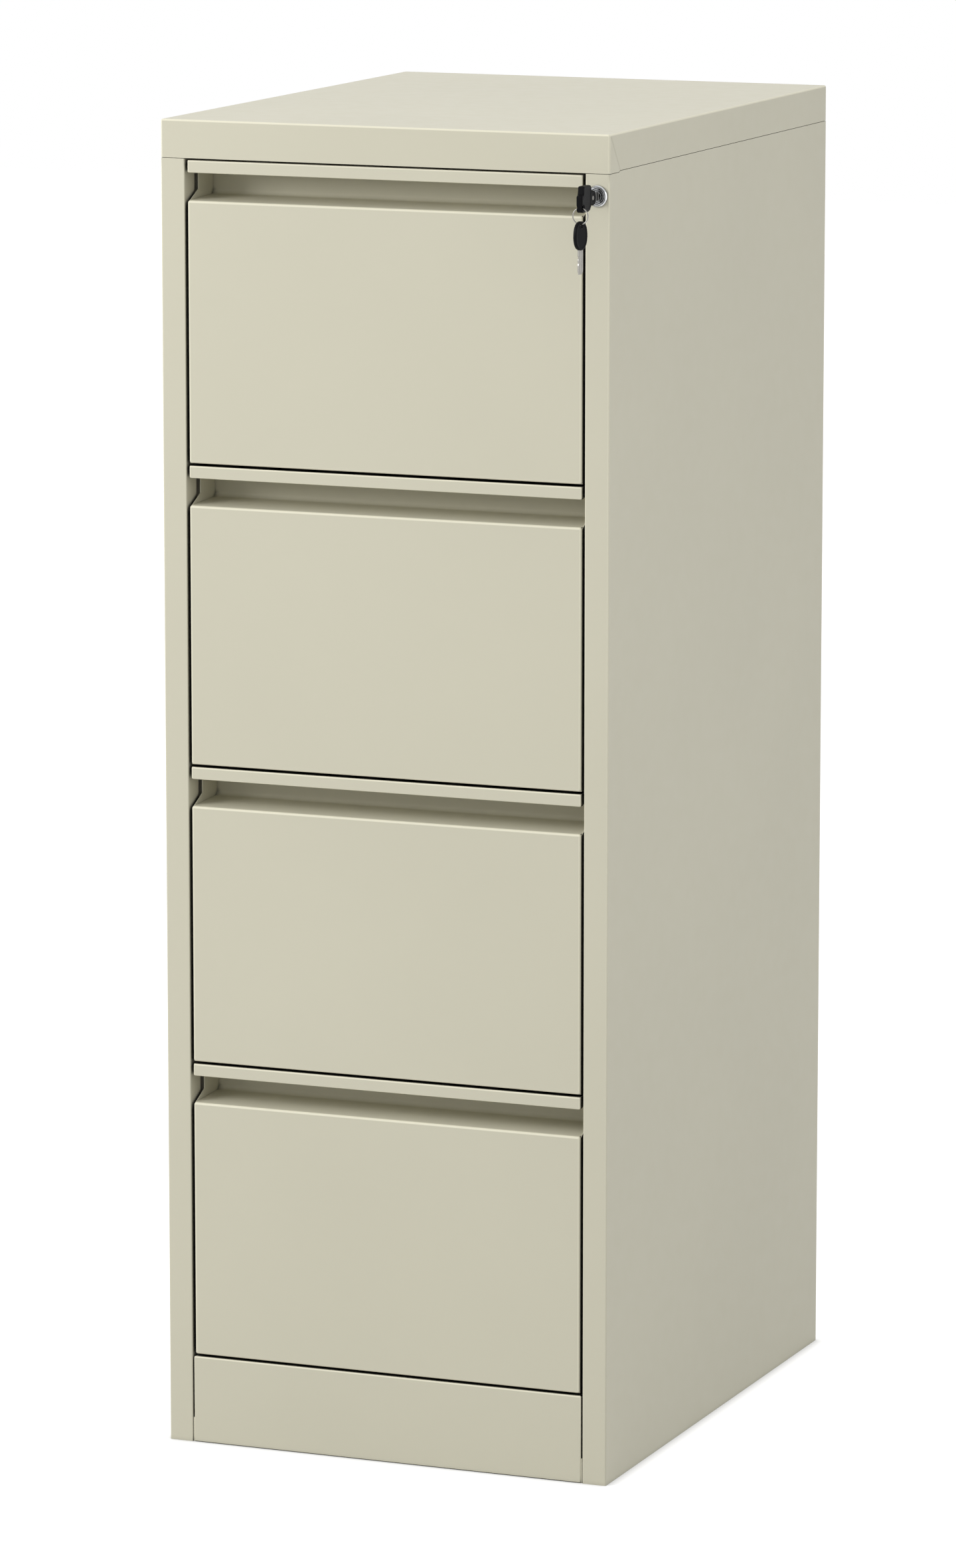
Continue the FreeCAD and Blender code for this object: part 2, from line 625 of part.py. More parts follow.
def channel(root, tip, height, thick, middle):
    """A channel section: its web stands at root and its flanges reach to tip."""
    web = f"({root}) + ({thick}) * (({tip}) > ({root}) ? 1 : -1)"
    half = f"({height}) / 2"
    return [
        (root, f"{middle} - {half}"),
        (root, f"{middle} + {half}"),
        (tip, f"{middle} + {half}"),
        (tip, f"{middle} + {half} - {thick}"),
        (web, f"{middle} + {half} - {thick}"),
        (web, f"{middle} - {half} + {thick}"),
        (tip, f"{middle} - {half} + {thick}"),
        (tip, f"{middle} - {half}"),
    ]


def make_slide_outer(drawer):
    """The fixed member of each slide, screwed to a front and a rear upright."""
    body = new_body(f"slide_outer_{drawer}_right")
    middle = slide_level(drawer)
    section = channel(UPRIGHT_FACE, OUTER_TIP, "size.outer_height", "size.slide_gauge", middle)
    extrude(body, "XZ", SLIDE_FRONT, SLIDE_BACK, polygons=[section])
    for end in (-1, 1):
        hole = (f"{end} * {UPRIGHT_MIDDLE}", middle, "size.screw_hole")
        web = (f"{UPRIGHT_FACE} - size.slide_gauge", UPRIGHT_FACE)
        extrude(body, "YZ", *web, circles=[hole], remove=True)
    keep(f"slide_outer_{drawer}", grouped(f"slide_outers_{drawer}", [body, mirrored(body)]))


def make_slide_screws():
    """Two screws through each outer member into the uprights."""
    rods = []
    face = f"({UPRIGHT_FACE} - size.slide_gauge)"
    for drawer in DRAWERS:
        for end, place in ((-1, "front"), (1, "rear")):
            where = (f"{end} * {UPRIGHT_MIDDLE}", slide_level(drawer))
            name = f"screw_{drawer}_{place}"
            head = (f"{face} - size.screw_head_height", face)
            rods.append(rod_along_x(f"{name}_head", "size.screw_head", head, *where))
            shank = (face, f"{face} + size.screw_length")
            rods.append(rod_along_x(f"{name}_shank", "size.screw_shank", shank, *where))
    screws = fused("right_screws", rods)
    keep("slide_screws", grouped("screws", [screws, mirrored(screws)]))


def make_slide_middle(drawer):
    """The travelling member of each slide with its two pairs of ball cages."""
    body = new_body(f"slide_middle_{drawer}_right")
    middle = slide_level(drawer)
    section = channel(MIDDLE_ROOT, MIDDLE_TIP, MIDDLE_HEIGHT, "size.slide_gauge", middle)
    extrude(body, "XZ", SLIDE_FRONT, SLIDE_BACK, polygons=[section])
    cage_length = f"({BALLS - 1} * size.ball_pitch + 2 * size.cage_end)"
    inner_start = f"({SLIDE_FRONT} + size.cage_end)"
    outer_start = f"({inner_start} + {SLIDE_TRAVEL} / 2)"
    rows = [
        ("outer", MIDDLE_HEIGHT, outer_start, f"(({OUTER_TIP} + {MIDDLE_ROOT}) / 2)"),
        ("inner", INNER_HEIGHT, inner_start, f"(({MIDDLE_TIP} + {INNER_TIP}) / 2)"),
    ]
    radius = "size.race_gap / 2 - size.ball_play"
    cages = []
    for row, race, start, across in rows:
        for sign, place in ((1, "top"), (-1, "bottom")):
            height = f"({middle} + {sign} * ({race} + size.race_gap) / 2)"
            name = f"cage_{drawer}_{row}_{place}"
            strip = block(
                f"{name}_strip",
                (f"{across} - size.cage_width / 2", f"{across} + size.cage_width / 2"),
                (start, f"{start} + {cage_length}"),
                (f"{height} - size.cage_gauge / 2", f"{height} + size.cage_gauge / 2"),
            )
            pieces = [strip]
            for i in range(BALLS):
                along = f"{start} + size.cage_end + {i} * size.ball_pitch"
                pieces.append(ball(f"{name}_{i}", radius, across, along, height))
            cages.append(fused(name, pieces))
    right = grouped(f"slide_middle_{drawer}_set", [body, *cages])
    keep(f"slide_middle_{drawer}", grouped(f"slide_middles_{drawer}", [right, mirrored(right)]))


def make_slide_inner(drawer):
    """The member of each slide that is fixed to the tray."""
    body = new_body(f"slide_inner_{drawer}_right")
    middle = slide_level(drawer)
    section = channel(TRAY_HALF, INNER_TIP, INNER_HEIGHT, "size.slide_gauge", middle)
    extrude(body, "XZ", SLIDE_FRONT, SLIDE_BACK, polygons=[section])
    keep(f"slide_inner_{drawer}", grouped(f"slide_inners_{drawer}", [body, mirrored(body)]))


# Drawers

def make_front_panel(drawer):
    """A front: face, recess floor, back wall, top web and lip in one sheet, with end plates."""
    body = new_body(f"front_{drawer}")

    def place(back, up):
        return (f"{FRONT} + {back}", f"{level(drawer)} + {up}")

    lip_foot = f"({FRONT_HEIGHT} - size.lip_face)"
    wall_back = "(size.recess_depth + size.gauge)"
    floor_back = f"({FACE_TOP} + size.shelf_rise)"
    sheet_path = [
        place("size.front_return", "0"),
        place("0", "0"),
        place("0", FACE_TOP),
        place("size.recess_depth", floor_back),
        place("size.recess_depth", f"{FRONT_HEIGHT} - size.gauge"),
        place("size.gauge", f"{FRONT_HEIGHT} - size.gauge"),
        place("size.gauge", f"{lip_foot} + size.gauge"),
        place("size.lip_hem", f"{lip_foot} + size.gauge"),
        place("size.lip_hem", lip_foot),
        place("0", lip_foot),
        place("0", FRONT_HEIGHT),
        place(wall_back, FRONT_HEIGHT),
        place(wall_back, f"{floor_back} - size.gauge"),
        place("size.gauge", f"{FACE_TOP} - size.gauge"),
        place("size.gauge", "size.gauge"),
        place("size.front_return", "size.gauge"),
    ]
    extrude(body, "YZ", f"-{FRONT_HALF}", FRONT_HALF, polygons=[sheet_path])
    bends = ("0", FACE_TOP, lip_foot, FRONT_HEIGHT)
    round_edges(body, "size.bend_radius", [(0, [place("0", up) for up in bends])])
    corner = "size.bend_radius"
    end_plate = [
        place(corner, "0"),
        place("0", corner),
        place("0", f"{FACE_TOP} - {corner}"),
        place("size.end_setback", f"{FACE_TOP} + size.end_rise"),
        place("size.end_setback", lip_foot),
        place(corner, lip_foot),
        place("0", f"{lip_foot} + {corner}"),
        place("0", f"{FRONT_HEIGHT} - {corner}"),
        place(corner, FRONT_HEIGHT),
        place(wall_back, FRONT_HEIGHT),
        place(wall_back, f"{FACE_TOP} - size.gusset_drop"),
        place("size.front_return", f"{FACE_TOP} - size.gusset_foot"),
        place("size.front_return", "0"),
    ]
    extrude(body, "YZ", f"-{FRONT_HALF}", f"-{FRONT_HALF} + size.gauge", polygons=[end_plate])
    extrude(body, "YZ", f"{FRONT_HALF} - size.gauge", FRONT_HALF, polygons=[end_plate])
    keep(f"front_panel_{drawer}", body)


def make_front_backing(drawer):
    """The inner skin that closes a front and carries the recess's back wall."""
    body = new_body(f"backing_{drawer}")

    def place(back, up):
        return (f"{FRONT} + {back}", f"{level(drawer)} + {up}")

    step = f"({FACE_TOP} - size.backing_drop)"
    wall_back = "(size.recess_depth + size.gauge)"
    top = f"({FRONT_HEIGHT} - size.backing_hem)"
    outline = [
        place("size.front_return", "size.backing_hem"),
        place("size.front_return + size.gauge", "size.backing_hem"),
        place("size.front_return + size.gauge", step),
        place(f"{wall_back} + size.gauge", step),
        place(f"{wall_back} + size.gauge", top),
        place(wall_back, top),
        place(wall_back, f"{step} + size.gauge"),
        place("size.front_return", f"{step} + size.gauge"),
    ]
    half = f"({FRONT_HALF} - size.gauge - size.play)"
    extrude(body, "YZ", f"-{half}", half, polygons=[outline])
    keep(f"front_backing_{drawer}", body)


def make_drawer_sides(drawer):
    """The two channel-shaped sides of a tray, and the strike that the lock bar hooks."""
    body = new_body(f"side_{drawer}")
    height = f"({TRAY_TOP} - size.tray_lift)"
    middle = f"({level(drawer)} + size.tray_lift + {height} / 2)"
    tip = f"({TRAY_HALF} - size.tray_flange)"
    section = channel(TRAY_HALF, tip, height, "size.gauge", middle)
    extrude(body, "XZ", TRAY_FRONT, TRAY_END, polygons=[section])
    step = f"{level(drawer)} + {FACE_TOP} - size.backing_drop"
    above = f"{level(drawer)} + {TRAY_TOP} + {MARGIN}"
    room = rectangle(f"{TRAY_FRONT} - {MARGIN}", SKIN_BACK, step, above)
    extrude(body, "YZ", f"{tip} - {MARGIN}", f"{TRAY_HALF} + {MARGIN}", polygons=[room], remove=True)
    strike_front = f"({BAR_BACK} + size.strike_gap)"
    foot = f"{level(drawer)} + {STRIKE_FOOT}"
    tall = (foot, f"{foot} + size.strike_tall")
    blade = block(
        f"strike_{drawer}_blade",
        (TRAY_HALF, f"{TRAY_HALF} + size.strike_reach"),
        (strike_front, f"{strike_front} + size.strike_gauge"),
        tall,
    )
    base = block(
        f"strike_{drawer}_foot",
        (TRAY_HALF, f"{TRAY_HALF} + size.strike_gauge"),
        (strike_front, f"{strike_front} + size.strike_foot"),
        tall,
    )
    strike = fused(f"strike_{drawer}", [blade, base])
    keep(f"drawer_sides_{drawer}", grouped(f"sides_{drawer}", [body, mirrored(body), strike]))


def make_drawer_bottom(drawer):
    """The sheet that lies on the bottom flanges of a tray's sides."""
    half = f"({TRAY_HALF} - size.gauge)"
    foot = f"({level(drawer)} + size.tray_lift + size.gauge)"
    sheet_box = block(
        f"bottom_{drawer}", (f"-{half}", half), (TRAY_FRONT, TRAY_BACK), (foot, f"{foot} + size.gauge")
    )
    keep(f"drawer_bottom_{drawer}", sheet_box)


def make_drawer_back(drawer):
    """The back of a tray, with a lip turned to the rear under the sides' top flanges."""
    body = new_body(f"back_{drawer}")
    foot = f"({level(drawer)} + size.tray_lift + size.gauge)"
    top = f"({level(drawer)} + {TRAY_TOP} - size.gauge)"
    lip = f"({TRAY_END} - size.gauge)"
    outline = [
        (TRAY_BACK, foot),
        (TRAY_BACK, top),
        (lip, top),
        (lip, f"{top} - size.gauge"),
        (f"{TRAY_BACK} + size.gauge", f"{top} - size.gauge"),
        (f"{TRAY_BACK} + size.gauge", foot),
    ]
    half = f"({TRAY_HALF} - size.gauge)"
    extrude(body, "YZ", f"-{half}", half, polygons=[outline])
    keep(f"drawer_back_{drawer}", body)


def make_hanger_rails(drawer):
    """The two upright strips on top of a tray that hanging files hook over."""
    inner = f"({TRAY_HALF} - size.tray_flange + size.gauge)"
    foot = f"({level(drawer)} + {TRAY_TOP})"
    strip = block(
        f"hanger_{drawer}",
        (inner, f"{inner} + size.hanger_gauge"),
        (f"{SKIN_BACK} + size.hanger_end", TRAY_BACK),
        (foot, f"{foot} + size.hanger_height"),
    )
    keep(f"hanger_rails_{drawer}", grouped(f"hangers_{drawer}", [strip, mirrored(strip)]))


# Lock

def make_lock_housing():
    """The fixed body of the lock: a rim outside the stile and a sleeve behind it."""
    body = new_body("housing_body")
    rim = f"({FRONT} - size.bezel_height)"
    extrude(body, "XZ", rim, FRONT, circles=[(LOCK_X, LOCK_Z, BEZEL_RADIUS)])
    sleeve = f"{FRONT} + size.lock_depth"
    extrude(body, "XZ", FRONT, sleeve, circles=[(LOCK_X, LOCK_Z, LOCK_RADIUS)])
    bore = (LOCK_X, LOCK_Z, "size.plug_radius + size.plug_play")
    extrude(body, "XZ", rim, sleeve, circles=[bore], remove=True)
    keep("lock_housing", body)


def make_lock_nut():
    """The ring nut that clamps the housing against the back of the stile."""
    body = new_body("nut_body")
    rings = [
        (LOCK_X, LOCK_Z, f"{STILE_ROOM} - size.nut_room"),
        (LOCK_X, LOCK_Z, f"{LOCK_RADIUS} + size.plug_play"),
    ]
    face = f"({FRONT} + size.gauge)"
    extrude(body, "XZ", face, f"{face} + size.nut_height", circles=rings)
    keep("lock_nut", body)


def make_lock_plug():
    """The turning plug, with the slot for the blade and a square tail for the cam."""
    body = new_body("plug_body")
    face = f"({FRONT} - size.bezel_height + size.plug_sink)"
    extrude(body, "XZ", face, PLUG_BACK, circles=[(LOCK_X, LOCK_Z, "size.plug_radius")])
    side = "size.tail_side / 2"
    tail = rectangle(f"{LOCK_X} - {side}", f"{LOCK_X} + {side}", f"{LOCK_Z} - {side}", f"{LOCK_Z} + {side}")
    tail_end = f"{PLUG_BACK} + size.cam_standoff + size.cam_gauge"
    extrude(body, "XZ", PLUG_BACK, tail_end, polygons=[tail])
    wide = "(size.key_gauge / 2 + size.key_slot_play)"
    tall = "(size.key_width / 2 + size.key_slot_play)"
    slot = rectangle(f"{LOCK_X} - {wide}", f"{LOCK_X} + {wide}", f"{LOCK_Z} - {tall}", f"{LOCK_Z} + {tall}")
    extrude(body, "XZ", face, f"{FRONT} + size.lock_depth", polygons=[slot], remove=True)
    keep("lock_plug", body)


def make_lock_cam():
    """The cam on the plug's tail, whose pin lifts the lock bar by a quarter turn."""
    body = new_body("cam_body")
    near = f"({PLUG_BACK} + size.cam_standoff)"
    far = f"({near} + size.cam_gauge)"
    pin = (f"{LOCK_X} - {PIN_SHIFT}", f"{LOCK_Z} - {PIN_SHIFT}")
    extrude(body, "XZ", near, far, circles=[(LOCK_X, LOCK_Z, CAM_RADIUS)])
    extrude(body, "XZ", near, far, circles=[(*pin, "size.cam_boss")])
    side = "(size.tail_side / 2 + size.plug_play)"
    hole = rectangle(f"{LOCK_X} - {side}", f"{LOCK_X} + {side}", f"{LOCK_Z} - {side}", f"{LOCK_Z} + {side}")
    extrude(body, "XZ", near, far, polygons=[hole], remove=True)
    pin_end = f"{BAR_BACK} + size.play"
    extrude(body, "XZ", far, pin_end, circles=[(*pin, "size.pin_radius")])
    keep("lock_cam", body)


def make_lock_bar():
    """The bar that rises as the lock turns, notched at its head for the cam's pin."""
    body = new_body("bar_body")
    left = f"({LOCK_X} - {BAR_HALF})"
    right = f"({LOCK_X} + {BAR_HALF})"
    pin_z = f"({LOCK_Z} - {PIN_SHIFT})"
    notch = "(size.pin_radius + size.notch_play)"
    head_left = f"({LOCK_X} - {CAM_RADIUS} - size.pin_radius - size.play)"
    notch_end = f"({head_left} + size.notch_depth)"
    head = f"({notch} + size.head_margin)"
    foot = f"({level(DRAWERS[-1])} + {GUIDE_FOOT} - size.bar_tail)"
    outline = [
        (left, foot),
        (right, foot),
        (right, f"{pin_z} + {head}"),
        (head_left, f"{pin_z} + {head}"),
        (head_left, f"{pin_z} + {notch}"),
        (notch_end, f"{pin_z} + {notch}"),
        (notch_end, f"{pin_z} - {notch}"),
        (head_left, f"{pin_z} - {notch}"),
        (head_left, f"{pin_z} - {head}"),
        (left, f"{pin_z} - {head}"),
    ]
    extrude(body, "XZ", BAR_FRONT, BAR_BACK, polygons=[outline])
    keep("lock_bar", body)


def make_bar_hooks():
    """A hook for each drawer, welded to the bar, that rises in front of its strike."""
    hooks = []
    for drawer in DRAWERS:
        top = f"({level(drawer)} + {STRIKE_FOOT} - size.hook_drop)"
        hook = block(
            f"hook_{drawer}",
            (f"{TRAY_HALF} + size.hook_gap", f"{LOCK_X} - {BAR_HALF}"),
            (BAR_FRONT, BAR_BACK),
            (f"{top} - size.hook_tall", top),
        )
        hooks.append(hook)
    keep("lock_bar_hooks", grouped("hooks", hooks))


def make_bar_guides():
    """Blocks on the right front upright, each with a slot that the lock bar runs in."""
    guides = []
    slot = f"({BAR_HALF} + size.bar_play)"
    for drawer in DRAWERS:
        foot = f"({level(drawer)} + {GUIDE_FOOT})"
        tall = (foot, f"{foot} + size.guide_height")
        outside = block(
            f"guide_{drawer}_outside",
            (f"{LOCK_X} - {GUIDE_HALF}", f"{LOCK_X} + {GUIDE_HALF}"),
            (f"{BAR_FRONT} - size.guide_wall", UPRIGHT_FRONT),
            tall,
        )
        inside = block(
            f"guide_{drawer}_slot",
            (f"{LOCK_X} - {slot}", f"{LOCK_X} + {slot}"),
            (f"{BAR_FRONT} - size.bar_play", f"{BAR_BACK} + size.bar_play"),
            tall,
        )
        guides.append(hollowed(f"guide_{drawer}", outside, inside))
    keep("lock_bar_guides", grouped("guides", guides))


# Keys

def make_key_blade():
    """The steel of the key in the lock, with the rivet that its head folds on."""
    body = new_body("blade_body")
    half = "(size.key_gauge / 2)"
    thick = (f"{LOCK_X} - {half}", f"{LOCK_X} + {half}")
    collar = f"({FRONT} - size.bezel_height - size.play)"
    tip = f"{FRONT} + size.lock_depth - size.key_tip_room"
    tall = "(size.key_width / 2)"
    blade = rectangle(collar, tip, f"{LOCK_Z} - {tall}", f"{LOCK_Z} + {tall}")
    extrude(body, "YZ", *thick, polygons=[blade])
    wide = "(size.key_shoulder / 2)"
    shoulder_end = f"({collar} - size.key_shoulder_length)"
    shoulder = rectangle(shoulder_end, collar, f"{LOCK_Z} - {wide}", f"{LOCK_Z} + {wide}")
    extrude(body, "YZ", *thick, polygons=[shoulder])
    tang_half = "size.tang_radius"
    tang = rectangle(RIVET_Y, shoulder_end, f"{LOCK_Z} - {tang_half}", f"{LOCK_Z} + {tang_half}")
    extrude(body, "YZ", *thick, polygons=[tang])
    extrude(body, "YZ", *thick, circles=[(RIVET_Y, LOCK_Z, "size.tang_radius")])
    ends = (f"{LOCK_X} - size.hub_width / 2", f"{LOCK_X} + size.hub_width / 2")
    extrude(body, "YZ", *ends, circles=[(RIVET_Y, LOCK_Z, "size.rivet_radius")])
    keep("key_blade", body)


def make_key_head():
    """The folding head: a forked round neck, and a bow with an eye for the ring."""
    body = new_body("head_body")
    neck = (f"{LOCK_X} - size.hub_width / 2", f"{LOCK_X} + size.hub_width / 2")
    bow_back = f"({RIVET_Y} - size.bow_gap)"
    bow_front = f"({bow_back} - size.bow_length)"
    low, high = f"{LOCK_Z} - size.bow_height / 2", f"{LOCK_Z} + size.bow_height / 2"
    stepped = f"{bow_front} + size.bow_setback"
    bow = [
        (bow_front, low),
        (bow_back, low),
        (bow_back, high),
        (stepped, high),
        (stepped, f"{LOCK_Z} + size.bow_step_top"),
        (bow_front, f"{LOCK_Z} + size.bow_step_foot"),
    ]
    wide = (f"{LOCK_X} - size.bow_width / 2", f"{LOCK_X} + size.bow_width / 2")
    extrude(body, "YZ", *wide, polygons=[bow])
    round_edges(body, "size.bow_corner", [(0, [(bow_front, low), (bow_back, high)])])
    round_edges(body, "size.bow_heel", [(0, [(bow_back, low)])])
    round_edges(body, "size.bow_shoulder", [(0, [(stepped, high)])])
    extrude(body, "YZ", *neck, circles=[(RIVET_Y, LOCK_Z, "size.hub_radius")])
    slot_half = "(size.key_gauge / 2 + size.hub_slot_play)"
    slot_front = f"{RIVET_Y} - size.hub_slot_depth"
    reach = f"(size.hub_radius + {MARGIN})"
    slot = rectangle(slot_front, f"{RIVET_Y} + {reach}", f"{LOCK_Z} - {reach}", f"{LOCK_Z} + {reach}")
    across = (f"{LOCK_X} - {slot_half}", f"{LOCK_X} + {slot_half}")
    extrude(body, "YZ", *across, polygons=[slot], remove=True)
    rivet = (RIVET_Y, LOCK_Z, "size.rivet_radius + size.rivet_play")
    extrude(body, "YZ", *neck, circles=[rivet], remove=True)
    extrude(body, "YZ", *wide, circles=[(EYE_Y, EYE_Z, "size.eye_radius")], remove=True)
    keep("key_head", body)


def make_key_ring():
    """The wire ring that hangs in the eye of the folding head."""
    ring = doc.addObject("Part::Torus", "ring")
    ring.Placement.Rotation = FreeCAD.Rotation(FreeCAD.Vector(1, 0, 0), 90)
    ring.setExpression("Radius1", "size.ring_radius")
    ring.setExpression("Radius2", "size.ring_wire")
    for axis, place in (("x", LOCK_X), ("y", EYE_Y), ("z", f"{RING_TOP} - size.ring_radius")):
        ring.setExpression(f".Placement.Base.{axis}", place)
    keep("key_ring", ring)


def hang_spare(body):
    """Put a piece drawn about the spare key's eye where that eye hangs, a little turned."""
    body.Placement.Rotation = FreeCAD.Rotation(FreeCAD.Vector(0, 0, -1), value("size.spare_turn"))
    places = (("x", LOCK_X), ("y", EYE_Y), ("z", f"{RING_BOTTOM} - size.spare_sag"))
    for axis, place in places:
        body.setExpression(f".Placement.Base.{axis}", place)
    body.setExpression(".Placement.Rotation.Angle", "size.spare_turn")


def make_spare_key():
    """The spare key, which hangs from the ring by the eye of its oval head."""
    head = new_body("spare_head_body")
    half = "(size.spare_width / 2)"
    foot = "(size.spare_eye - size.spare_height)"
    thick = ("-size.spare_gauge / 2", "size.spare_gauge / 2")
    extrude(head, "YZ", *thick, polygons=[rectangle(f"-{half}", half, foot, "size.spare_eye")])
    corners = [(y, z) for y in (f"-{half}", half) for z in (foot, "size.spare_eye")]
    round_edges(head, "size.spare_corner", [(0, corners)])
    extrude(head, "YZ", *thick, circles=[("0", "0", "size.eye_radius")], remove=True)
    blade = new_body("spare_blade_body")
    wide = "(size.key_width / 2)"
    shank = rectangle(f"-{wide}", wide, f"{foot} - size.spare_blade", foot)
    extrude(blade, "YZ", "-size.key_gauge / 2", "size.key_gauge / 2", polygons=[shank])
    for body, label in ((head, "spare_key_head"), (blade, "spare_key_blade")):
        hang_spare(body)
        keep(label, body)


def make_everything():
    make_cap()
    make_side_panel("left_side_panel", -1)
    make_side_panel("right_side_panel", 1)
    make_back_panel()
    make_base_pan()
    make_kick_plate()
    make_cross_rails()
    for side, hand in ((-1, "left"), (1, "right")):
        for end, place in ((-1, "front"), (1, "rear")):
            make_upright(f"{hand}_{place}_upright", side, end)
    for drawer in DRAWERS:
        make_slide_outer(drawer)
        make_slide_middle(drawer)
        make_slide_inner(drawer)
        make_front_panel(drawer)
        make_front_backing(drawer)
        make_drawer_sides(drawer)
        make_drawer_bottom(drawer)
        make_drawer_back(drawer)
        make_hanger_rails(drawer)
    make_slide_screws()
    make_lock_housing()
    make_lock_nut()
    make_lock_plug()
    make_lock_cam()
    make_lock_bar()
    make_bar_hooks()
    make_bar_guides()
    make_key_blade()
    make_key_head()
    make_key_ring()
    make_spare_key()
    doc.recompute()


def check_everything():
    """Stop if any object failed or any sub-part has no sound shape."""
    failed = [thing.Name for thing in doc.Objects if {"Invalid", "Error"} & set(thing.State)]
    for piece in nodes:
        shape = piece.Shape
        if shape.isNull() or not shape.isValid() or not shape.Solids:
            failed.append(piece.Label)
    if failed:
        raise RuntimeError(f"no sound shape: {', '.join(failed)}")


def write_everything():
    os.makedirs("parts", exist_ok=True)
    for piece in nodes:
        piece.Shape.exportStep(f"parts/{piece.Label}.step")
    print(f"{len(nodes)} sub-parts written")


make_everything()
check_everything()
write_everything()
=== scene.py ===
"""Looks of a steel filing cabinet with four drawers, a gang lock and its two keys."""
import json

import bpy
import numpy as np
from bpy.props import FloatProperty, FloatVectorProperty, PointerProperty
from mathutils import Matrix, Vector


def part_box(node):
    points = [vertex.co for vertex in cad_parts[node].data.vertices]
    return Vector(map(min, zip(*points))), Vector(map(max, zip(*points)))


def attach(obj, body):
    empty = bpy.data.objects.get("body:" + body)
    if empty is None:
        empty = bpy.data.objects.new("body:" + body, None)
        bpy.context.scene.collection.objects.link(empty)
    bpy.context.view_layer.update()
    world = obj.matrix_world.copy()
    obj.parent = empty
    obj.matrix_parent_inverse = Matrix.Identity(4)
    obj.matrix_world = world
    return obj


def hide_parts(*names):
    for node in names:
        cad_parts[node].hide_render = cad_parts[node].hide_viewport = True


bl_info = {
    "name": "Filing Cabinet",
    "version": (1, 0, 0),
    "blender": (4, 5, 0),
    "location": "3D View > Sidebar > Cabinet",
    "description": "Builds the visible sheets, lock and keys of a four drawer filing cabinet",
    "category": "Object",
}

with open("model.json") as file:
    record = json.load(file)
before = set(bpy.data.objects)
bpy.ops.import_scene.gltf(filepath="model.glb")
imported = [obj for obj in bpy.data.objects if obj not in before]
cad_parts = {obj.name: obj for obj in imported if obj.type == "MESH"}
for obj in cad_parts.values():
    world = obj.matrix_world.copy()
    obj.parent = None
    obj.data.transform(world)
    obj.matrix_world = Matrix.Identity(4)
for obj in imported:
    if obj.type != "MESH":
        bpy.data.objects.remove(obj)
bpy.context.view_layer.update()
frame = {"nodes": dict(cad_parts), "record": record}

MM = 0.001
DRAWERS = (1, 2, 3, 4)
QUARTER = np.pi / 2
AXES = RIGHT, BACK, UP = np.eye(3)


def low(node):
    """Lowest corner of a part of the frame."""
    return np.array(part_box(node)[0])


def high(node):
    """Highest corner of a part of the frame."""
    return np.array(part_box(node)[1])


CAP_LOW, CAP_HIGH = low("top_cap"), high("top_cap")
STILE_LOW = low("right_side_panel")
LOCK_LOW, LOCK_HIGH = low("lock_housing"), high("lock_housing")
LOCK_X, LOCK_Z = (LOCK_LOW[0] + LOCK_HIGH[0]) / 2, (LOCK_LOW[2] + LOCK_HIGH[2]) / 2
LOCK_PLACE = np.array([LOCK_X, STILE_LOW[1], LOCK_Z])
LENGTH = {"precision": 5, "subtype": "DISTANCE", "unit": "LENGTH"}
COLOUR = {"size": 3, "subtype": "COLOR", "min": 0, "max": 1}


# Sizes and colours

class SheetSizes(bpy.types.PropertyGroup):
    """How the painted sheets are bent and joined."""

    gauge: FloatProperty(
        name="Gauge", description="Thickness of the painted sheet", default=1.0 * MM,
        min=0.5 * MM, **LENGTH,
    )
    bend: FloatProperty(
        name="Bend", description="Outer radius of the bends of panels and drawer fronts",
        default=1.5 * MM, **LENGTH,
    )
    face_bend: FloatProperty(
        name="Face Bend", description="Outer radius of the edges of the drawer faces",
        default=2.4 * MM, **LENGTH,
    )
    cap_bend: FloatProperty(
        name="Cap Bend", description="Outer radius of the bends of the cap", default=2.0 * MM, **LENGTH,
    )
    recess_bend: FloatProperty(
        name="Recess Bend", description="Radius between the recess floor and its back wall",
        default=4.0 * MM, **LENGTH,
    )
    seam_depth: FloatProperty(
        name="Seam Depth", description="Depth of the mitre seam at each end of the cap",
        default=0.6 * MM, **LENGTH,
    )
    lip: FloatProperty(
        name="Lip", description="Height of the lip above the finger opening", default=12.2 * MM, **LENGTH,
    )
    grip: FloatProperty(
        name="Grip", description="Height of the finger opening", default=27.2 * MM, **LENGTH,
    )


class FinishColours(bpy.types.PropertyGroup):
    """Colours of paint, plastic and metals."""

    paint: FloatVectorProperty(
        name="Paint", description="Powder coat of every painted sheet",
        default=(0.670, 0.644, 0.513), **COLOUR,
    )
    zinc: FloatVectorProperty(
        name="Zinc", description="Plated steel of the slides",
        default=(0.60, 0.61, 0.62), **COLOUR,
    )
    chrome: FloatVectorProperty(
        name="Chrome", description="Rim of the lock",
        default=(0.60, 0.61, 0.62), **COLOUR,
    )
    nickel: FloatVectorProperty(
        name="Nickel", description="Blades of the keys",
        default=(0.34, 0.33, 0.305), **COLOUR,
    )
    plastic: FloatVectorProperty(
        name="Plastic", description="Heads of the keys",
        default=(0.004, 0.004, 0.0045), **COLOUR,
    )
    nylon: FloatVectorProperty(
        name="Nylon", description="Guides of the lock bar",
        default=(0.70, 0.69, 0.65), **COLOUR,
    )


